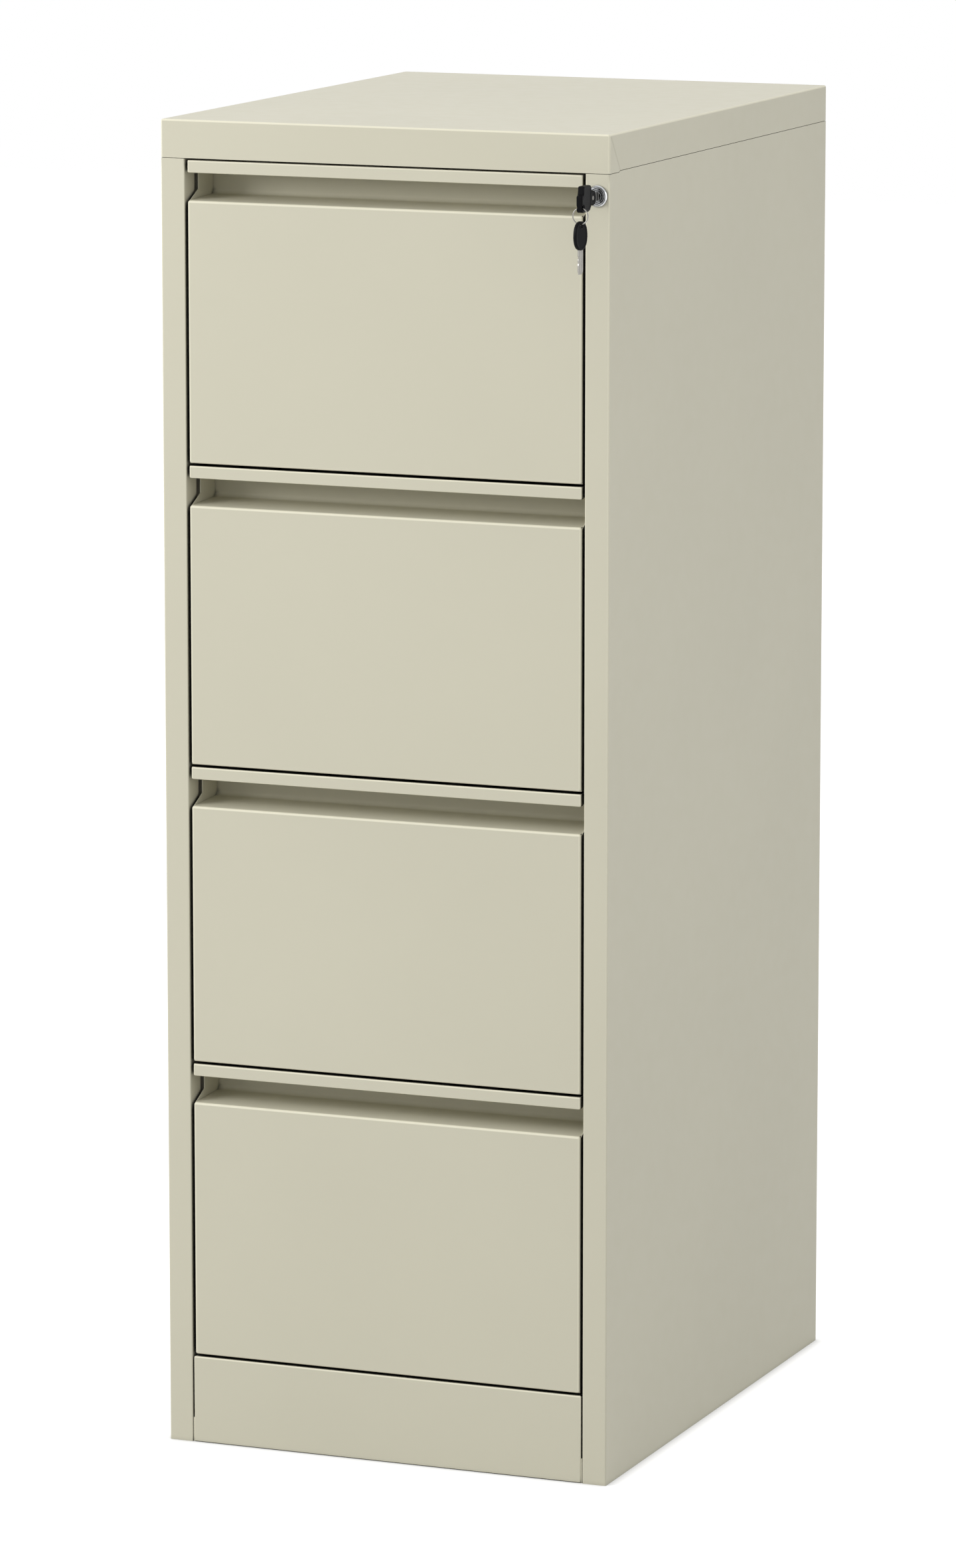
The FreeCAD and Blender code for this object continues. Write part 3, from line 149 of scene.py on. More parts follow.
class StageSettings(bpy.types.PropertyGroup):
    """Camera and light."""

    azimuth: FloatProperty(
        name="Azimuth", description="Camera's turn about the cabinet",
        default=np.radians(22.08), subtype="ANGLE", unit="ROTATION",
    )
    elevation: FloatProperty(
        name="Elevation", description="Camera's look downwards", default=np.radians(10.15),
        subtype="ANGLE", unit="ROTATION",
    )
    place: FloatVectorProperty(
        name="Place", description="Where the camera stands", size=3, default=(2.739, -6.817, 1.950),
        subtype="TRANSLATION", unit="LENGTH",
    )
    lens: FloatProperty(
        name="Lens", description="Focal length on a 36 mm sensor", default=168.1, unit="CAMERA",
    )
    key_power: FloatProperty(
        name="Key Power", description="Lamp at the left in front", default=60.0, unit="POWER",
    )
    side_power: FloatProperty(
        name="Side Power", description="Lamp beside the right panel", default=2.4, unit="POWER",
    )
    fill_level: FloatProperty(
        name="Fill Level", description="Level of the room's light from the sides", default=0.60, min=0,
    )
    fill_rise: FloatProperty(
        name="Fill Rise", description="How much brighter the room is overhead", default=0.33, min=0,
    )


# Surfaces

def smooth(share):
    """From nought to one with level ends: 3 t squared less 2 t cubed."""
    share = np.clip(share, 0, 1)
    return share * share * (3 - 2 * share)


def laid(pairs, first, second):
    """Pairs of numbers laid out along two axes."""
    return pairs[..., :1] * first + pairs[..., 1:] * second


def level(place, normal):
    """A grid with the same normal all over."""
    return place, np.broadcast_to(normal, place.shape)


def bent_path(corners, radii, steps=6):
    """Runs of a path of straight lines joined by tangent arcs.

    Each arc touches both its lines at radius times the tangent of half the turn from the
    corner. Every run is a pair of points and normals; normals stand to the left of travel.
    """
    corners = np.asarray(corners, float)
    along = np.diff(corners, axis=0)
    along /= np.linalg.norm(along, axis=1)[:, None]
    left = np.stack([-along[:, 1], along[:, 0]], -1)
    runs, start = [], corners[0]
    for i, radius in enumerate(radii, start=1):
        turn = np.arctan2(np.cross(along[i - 1], along[i]), along[i - 1] @ along[i])
        reach = radius * np.tan(abs(turn) / 2)
        touch = corners[i] - along[i - 1] * reach
        runs.append((np.array([start, touch]), np.tile(left[i - 1], (2, 1))))
        start = touch
        if radius > 0:
            side = np.sign(turn)
            middle = touch + left[i - 1] * side * radius
            angles = turn * np.linspace(0, 1, steps + 1)
            normal = np.cos(angles)[:, None] * left[i - 1] - np.sin(angles)[:, None] * along[i - 1]
            runs.append((middle - side * radius * normal, normal))
            start = corners[i] + along[i] * reach
    runs.append((np.array([start, corners[-1]]), np.tile(left[-1], (2, 1))))
    return runs


def carried(run, places, outwards):
    """A run of depths and heights, carried straight across through places."""
    points, normals = run
    across = np.asarray(places, float)[:, None, None] * RIGHT
    faces = outwards * laid(normals, BACK, UP)
    return across + laid(points, BACK, UP), np.broadcast_to(faces, (len(places), *faces.shape))


def rounded_end(run, place, radius, outwards):
    """The end of a run, rolled over to its inner side by a quarter circle.

    A point moves across by radius times the sine of the angle, and inwards along its
    normal by radius times one less the cosine.
    """
    points, normals = run
    angle = np.linspace(0, QUARTER, 7)[:, None, None]
    side = np.sign(place)
    normal = outwards * laid(normals, BACK, UP)
    centre = laid(points, BACK, UP) - radius * normal + (place - side * radius) * RIGHT
    facing = np.sin(angle) * side * RIGHT + np.cos(angle) * normal
    return centre + radius * facing, facing


def facing_out(points, normals):
    """Four corner numbers of each cell of a grid, turned so that they face its normals."""
    rows, columns = points.shape[:2]
    number = np.arange(rows * columns).reshape(rows, columns)
    cells = np.stack([number[:-1, :-1], number[1:, :-1], number[1:, 1:], number[:-1, 1:]], -1)
    cells = cells.reshape(-1, 4)
    flat = points.reshape(-1, 3)
    across = flat[cells[:, 2]] - flat[cells[:, 0]]
    over = flat[cells[:, 3]] - flat[cells[:, 1]]
    agree = np.einsum("ij,ij->", np.cross(across, over), normals.reshape(-1, 3)[cells[:, 0]])
    return cells if agree > 0 else cells[:, ::-1]


def welded(patches):
    """Grids as one mesh: places, each cell's corners, and the normal at each corner."""
    cells, shift = [], 0
    for points, normals in patches:
        cells.append(facing_out(points, normals) + shift)
        shift += points.shape[0] * points.shape[1]
    places = np.concatenate([p.reshape(-1, 3) for p, _ in patches])
    normals = np.concatenate([n.reshape(-1, 3) for _, n in patches])
    cells = np.concatenate(cells)
    steps_per_metre = 1e7
    whole = np.round(places * steps_per_metre)
    _, first, same = np.unique(whole, axis=0, return_index=True, return_inverse=True)
    return places[first], same.reshape(-1)[cells], normals[cells]


def thickened(places, cells, normals, gauge):
    """A sheet: the skin, the same skin set back by its gauge, and a rim along each edge."""
    count = len(places)
    mean = np.zeros_like(places)
    np.add.at(mean, cells.ravel(), normals.reshape(-1, 3))
    mean /= np.linalg.norm(mean, axis=1)[:, None]
    edges = np.stack([cells, np.roll(cells, -1, axis=1)], -1).reshape(-1, 2)
    edges = edges[edges[:, 0] != edges[:, 1]]
    code, back = edges @ (count, 1), edges[:, ::-1] @ (count, 1)
    open_edges = edges[~np.isin(code, back)]
    start, end = open_edges.T
    rim = np.stack([end, start, start + count, end + count], -1)
    both = np.concatenate([places, places - gauge * mean])
    over = np.cross(both[rim[:, 2]] - both[rim[:, 0]], both[rim[:, 3]] - both[rim[:, 1]])
    over /= np.linalg.norm(over, axis=1)[:, None]
    rim_normals = np.repeat(over[:, None], 4, axis=1)
    inner = cells[:, ::-1] + count
    return (
        both,
        np.concatenate([cells, inner, rim]),
        np.concatenate([normals, -normals[:, ::-1], rim_normals]),
    )


def convex(places, cells, normals):
    """One at points that have only outward bends around them, else nought.

    A cell bends outwards where its normals spread apart along one of its diagonals: the
    difference of two normals points the same way as the step between their corners.
    """
    least_spread = 0.02
    bent = np.zeros(len(cells), bool)
    for a, b in ((0, 2), (1, 3)):
        step = places[cells[:, b]] - places[cells[:, a]]
        spread = normals[:, b] - normals[:, a]
        parted = np.einsum("ij,ij->i", step, spread) > 0
        bent |= parted & (np.linalg.norm(spread, axis=1) > least_spread)
    all_bent = np.ones(len(places))
    np.minimum.at(all_bent, cells.ravel(), np.repeat(bent, 4).astype(float))
    return all_bent


def linked(name, content):
    """An object of a mesh, lamp or camera, in the scene."""
    holder = bpy.data.objects.new(name, content)
    bpy.context.scene.collection.objects.link(holder)
    return holder


def new_piece(name, places, cells, normals):
    """A mesh object from whole arrays; cells that close to a point become triangles."""
    same = cells == np.roll(cells, -1, axis=1)
    whole = ~same.any(axis=1)
    folded = same.sum(axis=1) == 1
    keep = np.argsort(same[folded], axis=1, kind="stable")[:, :3]
    keep.sort(axis=1)
    triangles = np.take_along_axis(cells[folded], keep, 1)
    corners = np.take_along_axis(normals[folded], keep[:, :, None], 1)
    mesh = bpy.data.meshes.new(name)
    mesh.from_pydata(places.tolist(), [], cells[whole].tolist() + triangles.tolist())
    mesh.polygons.foreach_set("use_smooth", np.ones(len(mesh.polygons), bool))
    facing = np.concatenate([normals[whole].reshape(-1, 3), corners.reshape(-1, 3)])
    facing = facing / np.linalg.norm(facing, axis=1)[:, None]
    mesh.normals_split_custom_set(facing.tolist())
    # The attribute edge marks the outward bends, where the powder coat paints a highlight.
    edge = mesh.attributes.new("edge", "FLOAT", "POINT")
    edge.data.foreach_set("value", convex(places, cells, normals))
    return linked(name, mesh)


def joined(*shells):
    """Several closed shells, each its places, cells and normals, as one."""
    shifts = np.cumsum([0] + [len(shell[0]) for shell in shells[:-1]])
    return (
        np.concatenate([shell[0] for shell in shells]),
        np.concatenate([shell[1] + shift for shell, shift in zip(shells, shifts)]),
        np.concatenate([shell[2] for shell in shells]),
    )


def solid(patches):
    """Grids that close a solid, turned to face outwards by the sign of its volume."""
    places, cells, normals = welded(patches)
    first, second, third, fourth = (places[cells[:, i]] for i in range(4))
    volume = np.einsum("ij,ij->", first, np.cross(second, third))
    volume += np.einsum("ij,ij->", first, np.cross(third, fourth))
    return (places, cells, normals) if volume > 0 else (places, cells[:, ::-1], -normals[:, ::-1])


def grid_normals(points, wrap=False):
    """Normals of a grid: the cross product of its differences along both parameters."""
    padded = np.concatenate([points[:, -2:-1], points, points[:, 1:2]], axis=1) if wrap else points
    along, over = np.gradient(padded, axis=(0, 1))
    normals = np.cross(along, over)
    normals /= np.linalg.norm(normals, axis=2)[:, :, None] + 1e-15
    return normals[:, 1:-1] if wrap else normals


def turned(corners, radii, origin, axis, start, steps=48):
    """A profile of distances along an axis and radii, turned once around that axis."""
    angle = np.linspace(0, 2 * np.pi, steps + 1)[:, None, None]
    spoke = np.cos(angle) * start + np.sin(angle) * np.cross(axis, start)
    return [
        (origin + laid(points, axis, spoke), laid(normals, axis, spoke))
        for points, normals in bent_path(corners, radii, 3)
    ]


def prism(low_corner, high_corner):
    """A closed block as six flat grids."""
    ends = np.stack([low_corner, high_corner])
    patches = []
    for axis in range(3):
        first, second = (i for i in range(3) if i != axis)
        for end, sign in ((0, -1), (1, 1)):
            place = np.empty((2, 2, 3))
            place[..., axis] = ends[end, axis]
            place[..., first] = ends[:, first][:, None]
            place[..., second] = ends[:, second][None, :]
            patches.append(level(place, sign * AXES[axis]))
    return patches


# Materials

class Nodes:
    """A short way to add nodes to one material or world and link them."""

    def __init__(self, owner):
        owner.use_nodes = True
        self.owner = owner
        self.tree = owner.node_tree
        self.shader = self.tree.nodes.get("Principled BSDF")

    def add(self, kind, **settings):
        """A node with its settings; an input's name has underscores for its spaces."""
        node = self.tree.nodes.new(kind)
        for key, setting in settings.items():
            if hasattr(node, key):
                setattr(node, key, setting)
            else:
                node.inputs[key.replace("_", " ")].default_value = setting
        return node

    def feed(self, source, target):
        """Lead an output, or a plain number or colour, into an input."""
        if isinstance(source, bpy.types.NodeSocket):
            self.tree.links.new(source, target)
        else:
            target.default_value = source

    def math(self, operation, first, second):
        """One number worked out from two."""
        node = self.add("ShaderNodeMath", operation=operation)
        self.feed(first, node.inputs[0])
        self.feed(second, node.inputs[1])
        return node.outputs[0]

    def noise(self, scale, detail=2.0, stretch=(1, 1, 1)):
        """Noise on Object coordinates, each of which is first multiplied by its stretch."""
        coordinates = self.add("ShaderNodeTexCoord")
        mapping = self.add("ShaderNodeMapping", Scale=stretch)
        self.feed(coordinates.outputs["Object"], mapping.inputs["Vector"])
        noise = self.add("ShaderNodeTexNoise", Scale=scale, Detail=detail)
        self.feed(mapping.outputs["Vector"], noise.inputs["Vector"])
        return noise.outputs["Fac"]

    def nearness(self, distance):
        """One in the open, less where other surfaces stand within a distance."""
        return self.add("ShaderNodeAmbientOcclusion", samples=8, Distance=distance).outputs["AO"]

    def spread(self, source, low_end, high_end, start=0.3, end=0.7):
        """A source's values from start to end, mapped from the low to the high end."""
        ramp = self.add("ShaderNodeMapRange", From_Min=start, From_Max=end, To_Max=high_end)
        self.feed(low_end, ramp.inputs["To Min"])
        self.feed(source, ramp.inputs["Value"])
        return ramp.outputs["Result"]

    def tinted(self, colour, factor):
        """A colour multiplied by a varying factor, as the shader's base colour."""
        mix = self.add("ShaderNodeVectorMath", operation="SCALE")
        self.feed(colour, mix.inputs[0])
        self.feed(factor, mix.inputs["Scale"])
        self.feed(mix.outputs["Vector"], self.shader.inputs["Base Color"])

    def bump(self, height, depth, strength):
        """Relief of a depth in metres."""
        bump = self.add("ShaderNodeBump", Strength=strength, Distance=depth)
        self.feed(height, bump.inputs["Height"])
        self.feed(bump.outputs["Normal"], self.shader.inputs["Normal"])


def powder_coat(colour):
    """Satin powder coat: a faint cloud, a fine orange peel, painted shade in the gaps and a painted highlight
    on the bends.

    The colour is multiplied by the cloud, by painted shade from ambient occlusion, so that the gaps are
    dark, and by a painted highlight, a rise along the outward bends, which the attribute edge marks.
    """
    nodes = Nodes(bpy.data.materials.new("powder_coat"))
    cloud = nodes.spread(nodes.noise(scale=4.0, detail=3.0), 0.985, 1.012)
    # painted shade: the colour falls to nought where other surfaces stand within 9 mm, so the gaps look black
    painted_crevice_shade = nodes.spread(nodes.nearness(9 * MM), 0.0, 1.0, start=0.24, end=0.56)
    edge = nodes.add("ShaderNodeAttribute", attribute_name="edge").outputs["Fac"]
    # painted highlight: the colour rises by up to 1.22 along the outward bends
    rise = nodes.spread(edge, 1.0, 1.22, start=0.0, end=1.0)
    nodes.tinted(colour, nodes.math("MULTIPLY", rise, nodes.math("MULTIPLY", cloud, painted_crevice_shade)))
    nodes.feed(nodes.spread(nodes.noise(scale=60.0), 0.40, 0.46), nodes.shader.inputs["Roughness"])
    nodes.shader.inputs["Specular IOR Level"].default_value = 0.25
    nodes.bump(nodes.noise(scale=450.0, detail=3.0), depth=0.02 * MM, strength=0.6)
    return nodes.owner


def plated_steel(name, colour, roughness, stretch=(1, 1, 1), grain=250.0):
    """Plated steel with painted shade in its crevices, and fine streaks along the axis of least stretch."""
    nodes = Nodes(bpy.data.materials.new(name))
    nodes.shader.inputs["Metallic"].default_value = 1.0
    streaks = nodes.noise(grain, 4.0, stretch)
    # painted shade: the colour falls to 0.03 where other surfaces stand within 2.5 mm
    painted_crevice_shade = nodes.spread(nodes.nearness(2.5 * MM), 0.03, 1.0, start=0.2, end=0.9)
    nodes.tinted(colour, nodes.math("MULTIPLY", nodes.spread(streaks, 0.82, 1.08), painted_crevice_shade))
    rough = nodes.spread(streaks, roughness * 0.8, roughness * 1.25)
    nodes.feed(rough, nodes.shader.inputs["Roughness"])
    nodes.bump(streaks, depth=0.02 * MM, strength=0.25)
    return nodes.owner


def moulded_plastic(name, colour, roughness, gloss):
    """Moulded plastic with a fine spark grain."""
    nodes = Nodes(bpy.data.materials.new(name))
    grain = nodes.noise(scale=2500.0)
    nodes.tinted(colour, nodes.spread(grain, 0.85, 1.2))
    rough = nodes.spread(grain, roughness - 0.06, roughness + 0.06)
    nodes.feed(rough, nodes.shader.inputs["Roughness"])
    nodes.shader.inputs["Specular IOR Level"].default_value = gloss
    nodes.bump(grain, depth=0.03 * MM, strength=0.5)
    return nodes.owner


FINISHES = {}


def make_finishes(colours):
    """Every material by the record's slot."""
    zinc, nickel, black = colours.zinc, colours.nickel, colours.plastic
    FINISHES.update(
        cabinet_paint=powder_coat(colours.paint),
        slide_zinc=plated_steel("zinc_plate", zinc, roughness=0.32, stretch=(1, 0.05, 1)),
        lock_steel=plated_steel("lock_steel", zinc, roughness=0.35, stretch=(1, 1, 0.1)),
        lock_chrome=plated_steel("chrome", colours.chrome, roughness=0.10, grain=800.0),
        key_steel=plated_steel("nickel_silver", nickel, 0.28, stretch=(1, 1, 0.05), grain=1500.0),
        ring_steel=plated_steel("ring_steel", nickel, roughness=0.22, grain=900.0),
        key_black=moulded_plastic("key_plastic", black, roughness=0.42, gloss=0.07),
        guide_nylon=moulded_plastic("nylon", colours.nylon, roughness=0.5, gloss=0.4),
    )


def finish_piece(piece, body, slot, *nodes):
    """Paint a piece, let it ride on its body and stand for its nodes."""
    piece.data.materials.append(FINISHES[slot])
    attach(piece, body)
    if nodes:
        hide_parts(*nodes)


def add_piece(name, shell, body, slot, *nodes):
    """A shell, its places, cells and normals, as a finished piece."""
    finish_piece(new_piece(name, *shell), body, slot, *nodes)


# Casing

def tab_foot(depth):
    """Bottom edge of the cap at a depth: the front tab runs out in a short curve."""
    tab_depth, curve, step = 24 * MM, 4 * MM, 1.3 * MM
    return CAP_LOW[2] + step * smooth((depth - tab_depth) / curve)


def tab_columns(radius):
    """Depths of the columns of each cap end, at its top and at its foot."""
    foot = np.array([2, 12, 20, 24, 25, 26, 27, 27.4, 28, 28.6, 30, 60, 300, 560, 618]) * MM
    top = np.array([2, 2.1, 2.2, 2.3, 2.35, 2.4, 2.45, 2.5, 3.1, 3.7, 5, 60, 300, 560, 618]) * MM
    foot[0] = top[0] = radius
    return top, foot


def make_cap(sizes):
    """The cap as a rounded box without a floor: sheet bent over at every edge.

    Front, top and back are one path carried across; each end of it is rolled over by a
    quarter circle, and the end flange hangs from there, a plane whose columns lean so
    that three of them follow the mitre seam.
    """
    radius = sizes.cap_bend
    half, depth = CAP_HIGH[0], CAP_HIGH[1] - CAP_LOW[1]
    top_depths, foot_depths = tab_columns(radius)
    rows = np.array([0, 0.02, 0.25, 0.5, 0.75, 0.97, 1.0])  # shares of the way down
    crown = CAP_HIGH[2] - radius
    front_rows = crown - rows[::-1] * (crown - CAP_LOW[2])
    back_rows = crown - rows * (crown - tab_foot(depth))
    y = CAP_LOW[1]
    corners = [(y, z) for z in front_rows[:-1]] + [(y, CAP_HIGH[2])]
    corners += [(y + d, CAP_HIGH[2]) for d in top_depths[1:-1]] + [(y + depth, CAP_HIGH[2])]
    corners += [(y + depth, z) for z in back_rows[1:]]
    radii = [0] * (len(front_rows) - 2) + [radius] + [0] * (len(top_depths) - 2) + [radius]
    radii += [0] * (len(back_rows) - 2)
    runs = bent_path(corners, radii)
    inner = half - radius
    patches = [carried(run, (-inner, inner), 1) for run in runs]
    for side in (-1, 1):
        patches += [rounded_end(run, side * half, radius, 1) for run in runs]
        patches.append(cap_end(sizes, side * half, crown, rows, top_depths, foot_depths))
    shell = thickened(*welded(patches), sizes.gauge)
    add_piece("cap", shell, "cabinet", "cabinet_paint", "top_cap")


def cap_end(sizes, x, crown, rows, top_depths, foot_depths):
    """An end flange of the cap with its slanting seam.

    A point's depth goes from the column's top to its foot in proportion to the row, and
    the seam's middle column stands back by the seam's depth.
    """
    share = rows[None, :]
    depth = top_depths[:, None] * (1 - share) + foot_depths[:, None] * share
    foot = tab_foot(foot_depths)[:, None]
    height = crown - share * (crown - foot)
    dip = np.zeros_like(depth)
    seam = np.argmin(abs(foot_depths - 28 * MM))
    dip[seam, 1:] = sizes.seam_depth
    points = np.stack([x - np.sign(x) * dip, CAP_LOW[1] + depth, height], -1)
    return level(points, np.sign(x) * RIGHT)


def square_and_circle(steps):
    """Even points along the square of -1 to 1, and each drawn in to the unit circle.

    Both go once round, against the clock, and end where they start.
    """
    step = np.linspace(-1, 1, steps + 1)[:-1]
    side = np.stack([step, -np.ones(steps)], -1)
    square = np.concatenate([side, side[:, ::-1] * (-1, 1), -side, side[:, ::-1] * (1, -1)])
    square = np.concatenate([square, square[:1]])
    return square, square / np.linalg.norm(square, axis=1)[:, None]


def make_side(sizes, side, name, node):
    """A side panel: return flange, stile, side and rear flange, one path carried upwards.

    Its top follows the cap's foot. In the right stile a square about the lock is left out
    and closed by a ring between that square and the lock's round hole.
    """
    outer, rear = high("right_side_panel")[:2]
    inner, y = STILE_LOW[:2]
    radius = sizes.bend
    hole, return_flange, rear_flange, gap = 9.6 * MM, 24 * MM, 20 * MM, 0.5 * MM
    steps = 8
    around = (outer - inner) / 2 - radius
    stile = np.linspace(inner + radius, outer - radius, steps + 1)
    depths = np.array([12, 20, 24, 25, 26, 27, 28, 60, 300, 560]) * MM
    corners = [(inner, y + return_flange), (inner, y)] + [(x, y) for x in stile[1:-1]] + [(outer, y)]
    corners += [(outer, y + d) for d in depths] + [(outer, rear), (outer - rear_flange, rear)]
    radii = [radius] + [0] * (steps - 1) + [radius] + [0] * len(depths) + [radius]
    rows = np.concatenate([[0], np.linspace(LOCK_Z - around, LOCK_Z + around, steps + 1)])
    patches = []
    for points, normals in bent_path(corners, radii):
        top = tab_foot(points[:, 1] - y) - gap
        height = np.concatenate([np.tile(rows, (len(points), 1)), top[:, None]], axis=1)
        flat = np.broadcast_to(points[:, None], (*height.shape, 2))
        place = np.concatenate([flat, height[:, :, None]], -1)
        facing = np.broadcast_to(-laid(normals, RIGHT, BACK)[:, None], place.shape)
        if side > 0 and abs(points[:, 1] - y).max() < 1e-9:
            patches += [(place[:, :2], facing[:, :2]), (place[:, -2:], facing[:, -2:])]
        else:
            patches.append((place, facing))
    if side > 0:
        square, circle = square_and_circle(steps)
        place = LOCK_PLACE + laid(np.stack([square * around, circle * hole]), RIGHT, UP)
        patches.append(level(place, -BACK))
    patches = [(p * (side, 1, 1), n * (side, 1, 1)) for p, n in patches]
    shell = thickened(*welded(patches), sizes.gauge)
    add_piece(name, shell, "cabinet", "cabinet_paint", node)


def rolled_sheet(path, radii, half, end, rolled, roll, gauge, outwards=1):
    """A folded sheet with some of its runs rolled over at both ends.

    The rolled runs stop one roll short of the full width and turn back by a quarter
    circle; the others end square at their own half width, against the end plates.
    """
    inner = half - roll
    patches = []
    for index, run in enumerate(bent_path(path, radii)):
        if index in rolled:
            patches.append(carried(run, (-inner, inner), outwards))
            patches += [rounded_end(run, side * half, roll, outwards) for side in (-1, 1)]
        else:
            patches.append(carried(run, np.unique([-end, -inner, inner, end]), outwards))
    return thickened(*welded(patches), gauge)


def plate_piece(name, outline, gauge, half, round_by):
    """Both end plates of a sheet: an outline of depths and heights carried through the gauge.

    The outline goes up at the front and down at the back; a narrow bevel breaks its edges.
    """
    flat = laid(np.array(outline), BACK, UP)
    count = len(flat)
    ring = np.arange(count)
    following = np.roll(ring, -1)
    plate = np.stack([ring + count, following + count, following, ring], -1).tolist()
    plate += [ring.tolist(), (ring[::-1] + count).tolist()]
    places, faces = [], []
    for side in (-1, 1):
        shift = len(places) * count
        turn = -side
        faces += [[corner + shift for corner in face[::turn]] for face in plate]
        places += [flat + side * half * RIGHT, flat + side * (half - gauge) * RIGHT]
    mesh = bpy.data.meshes.new(name)
    mesh.from_pydata(np.concatenate(places).tolist(), [], faces)
    mesh.polygons.foreach_set("use_smooth", np.ones(len(mesh.polygons), bool))
    piece = linked(name, mesh)
    bevel = piece.modifiers.new("edge", "BEVEL")
    bevel.width = round_by
    bevel.segments = 2
    bevel.limit_method = "ANGLE"
    bevel.harden_normals = True
    return piece


def make_kick(sizes):
    """The kick plate: a face bent back along its top and rolled over at both ends."""
    bottom, top = low("kick_plate"), high("kick_plate")
    y, crown, radius = bottom[1], top[2], sizes.bend
    rear_flange, plate_depth, plate_foot = 12 * MM, 15 * MM, 25.5 * MM
    path = [(y, bottom[2]), (y, crown), (top[1], crown), (top[1], crown - rear_flange)]
    half = top[0]
    shell = rolled_sheet(path, [radius, radius], half, half - radius, (0, 1), radius, sizes.gauge)
    add_piece("kick_plate_sheet", shell, "cabinet", "cabinet_paint", "kick_plate")
    front, back, plate_top = y + radius, y + plate_depth, crown - radius
    outline = [(front, plate_foot), (front, plate_top), (back, plate_top), (back, plate_foot)]
    ends = plate_piece("kick_plate_ends", outline, sizes.gauge, half, round_by=0.2 * MM)
    finish_piece(ends, "cabinet", "cabinet_paint")


def make_front(sizes, drawer):
    """A drawer front: face, recess and lip in sheet, closed by an end plate on each side."""
    node, body = f"front_panel_{drawer}", f"drawer_{drawer}"
    bottom, top = low(node), high(node)
    base = bottom[1:]
    half, height = top[0], top[2] - bottom[2]
    gauge, bend, roll = sizes.gauge, sizes.bend, sizes.face_bend
    lip_foot = height - sizes.lip
    face_top = lip_foot - sizes.grip
    recess, rise = 60 * MM, 2 * MM
    foot_flange, lip_flange = 19 * MM, 9 * MM
    setback, slant = 25 * MM, 9.4 * MM
    back_foot, lower_step = face_top - 15 * MM, face_top - 45 * MM
    path = [(foot_flange, 0), (0, 0), (0, face_top), (recess, face_top + rise), (recess, height - gauge)]
    radii = [roll, roll, sizes.recess_bend]
    face = rolled_sheet(np.array(path) + base, radii, half, half - gauge, (1, 2, 3), roll, gauge)
    path = [(recess + gauge, height), (0, height), (0, lip_foot), (lip_flange, lip_foot)]
    lip = rolled_sheet(np.array(path) + base, [bend, bend], half, half - gauge, (1, 2, 3), bend, gauge, -1)
    add_piece(f"drawer_front_{drawer}", joined(face, lip), body, "cabinet_paint", node)
    outline = [
        (roll, 0),
        (roll, face_top - roll + slant * roll / setback),
        (setback, face_top + slant),
        (setback, lip_foot),
        (bend, lip_foot + bend),
        (bend, height),
        (recess + gauge, height),
        (recess + gauge, back_foot),
        (foot_flange, lower_step),
        (foot_flange, 0),
    ]
    outline = np.array(outline) + base
    ends = plate_piece(f"drawer_front_ends_{drawer}", outline, gauge, half, round_by=0.25 * MM)
    finish_piece(ends, body, "cabinet_paint")


# Lock and keys

def make_housing():
    """The chromed rim with its groove and inner slope, and the sleeve behind it.

    Its outline is in millimetres, forward of the stile and out from the lock's axis.
    """
    outline = np.array([
        (-20, 7.05), (2.5, 7.05), (3.6, 7.7), (4.0, 7.9), (4.0, 8.5), (2.8, 8.8), (2.8, 9.2),
        (3.2, 9.4), (2.0, 10.5), (0, 10.5), (0, 9.4), (-20, 9.4), (-20, 7.05),
    ])
    radii = np.array([0.1, 0.3, 0.1, 0.25, 0.25, 0.15, 0.1, 0.3, 0.8, 0, 0])
    shell = solid(turned(outline * MM, radii * MM, LOCK_PLACE, -BACK, RIGHT))
    add_piece("lock_rim", shell, "cabinet", "lock_chrome", "lock_housing")


def make_plug():
    """The plug: a turned body with a sunk ring, whose face closes on the key's slot.

    The body's outline is in millimetres, forward of the stile and out from the axis. The
    face runs from the circle to the slot's rectangle point by point, then a narrow bevel,
    the slot's wall and its floor follow.
    """
    face, face_radius, edge, slot_floor = -3.6 * MM, 4.5 * MM, 0.25 * MM, 20 * MM
    outline = np.array([
        (-21, 0), (-21, 7), (3.2, 7), (3.2, 6.3), (0.8, 6.3), (0.8, 4.9), (3.6, 4.9), (3.6, 4.5),
    ])
    radii = np.array([0, 0.3, 0.1, 0.1, 0.1, 0.2])
    square, circle = square_and_circle(6)
    slot = np.array([1.25, 3.85]) * MM
    narrow, wide = square * slot, square * (slot + edge)
    spoke = laid(circle, RIGHT, UP)[:, None]

    def at(flat, depth):
        return LOCK_PLACE + laid(flat, RIGHT, UP) + depth * BACK

    patches = [
        (LOCK_PLACE + laid(points, -BACK, spoke), laid(normals, -BACK, spoke))
        for points, normals in bent_path(outline * MM, radii * MM, 3)
    ]
    front = np.stack([at(circle * face_radius, face), at(wide, face)])
    bevel = np.stack([at(wide, face), at(narrow, face + edge)])
    wall = np.stack([at(narrow, face + edge), at(narrow, slot_floor)])
    floor = np.stack([at(narrow, slot_floor), at(narrow * 0, slot_floor)])
    patches += [level(front, -BACK), level(floor, -BACK)]
    patches += [(bevel, -grid_normals(bevel)), (wall, -grid_normals(wall))]
    tail_half, tail_front = 3 * MM, 21 * MM
    tail_back = high("lock_plug")[1] - STILE_LOW[1]
    tail = prism(
        LOCK_PLACE + (-tail_half, tail_front, -tail_half),
        LOCK_PLACE + (tail_half, tail_back, tail_half),
    )
    shell = joined(solid(patches), solid(tail))
    add_piece("lock_face", shell, "lock_core", "lock_chrome", "lock_plug")


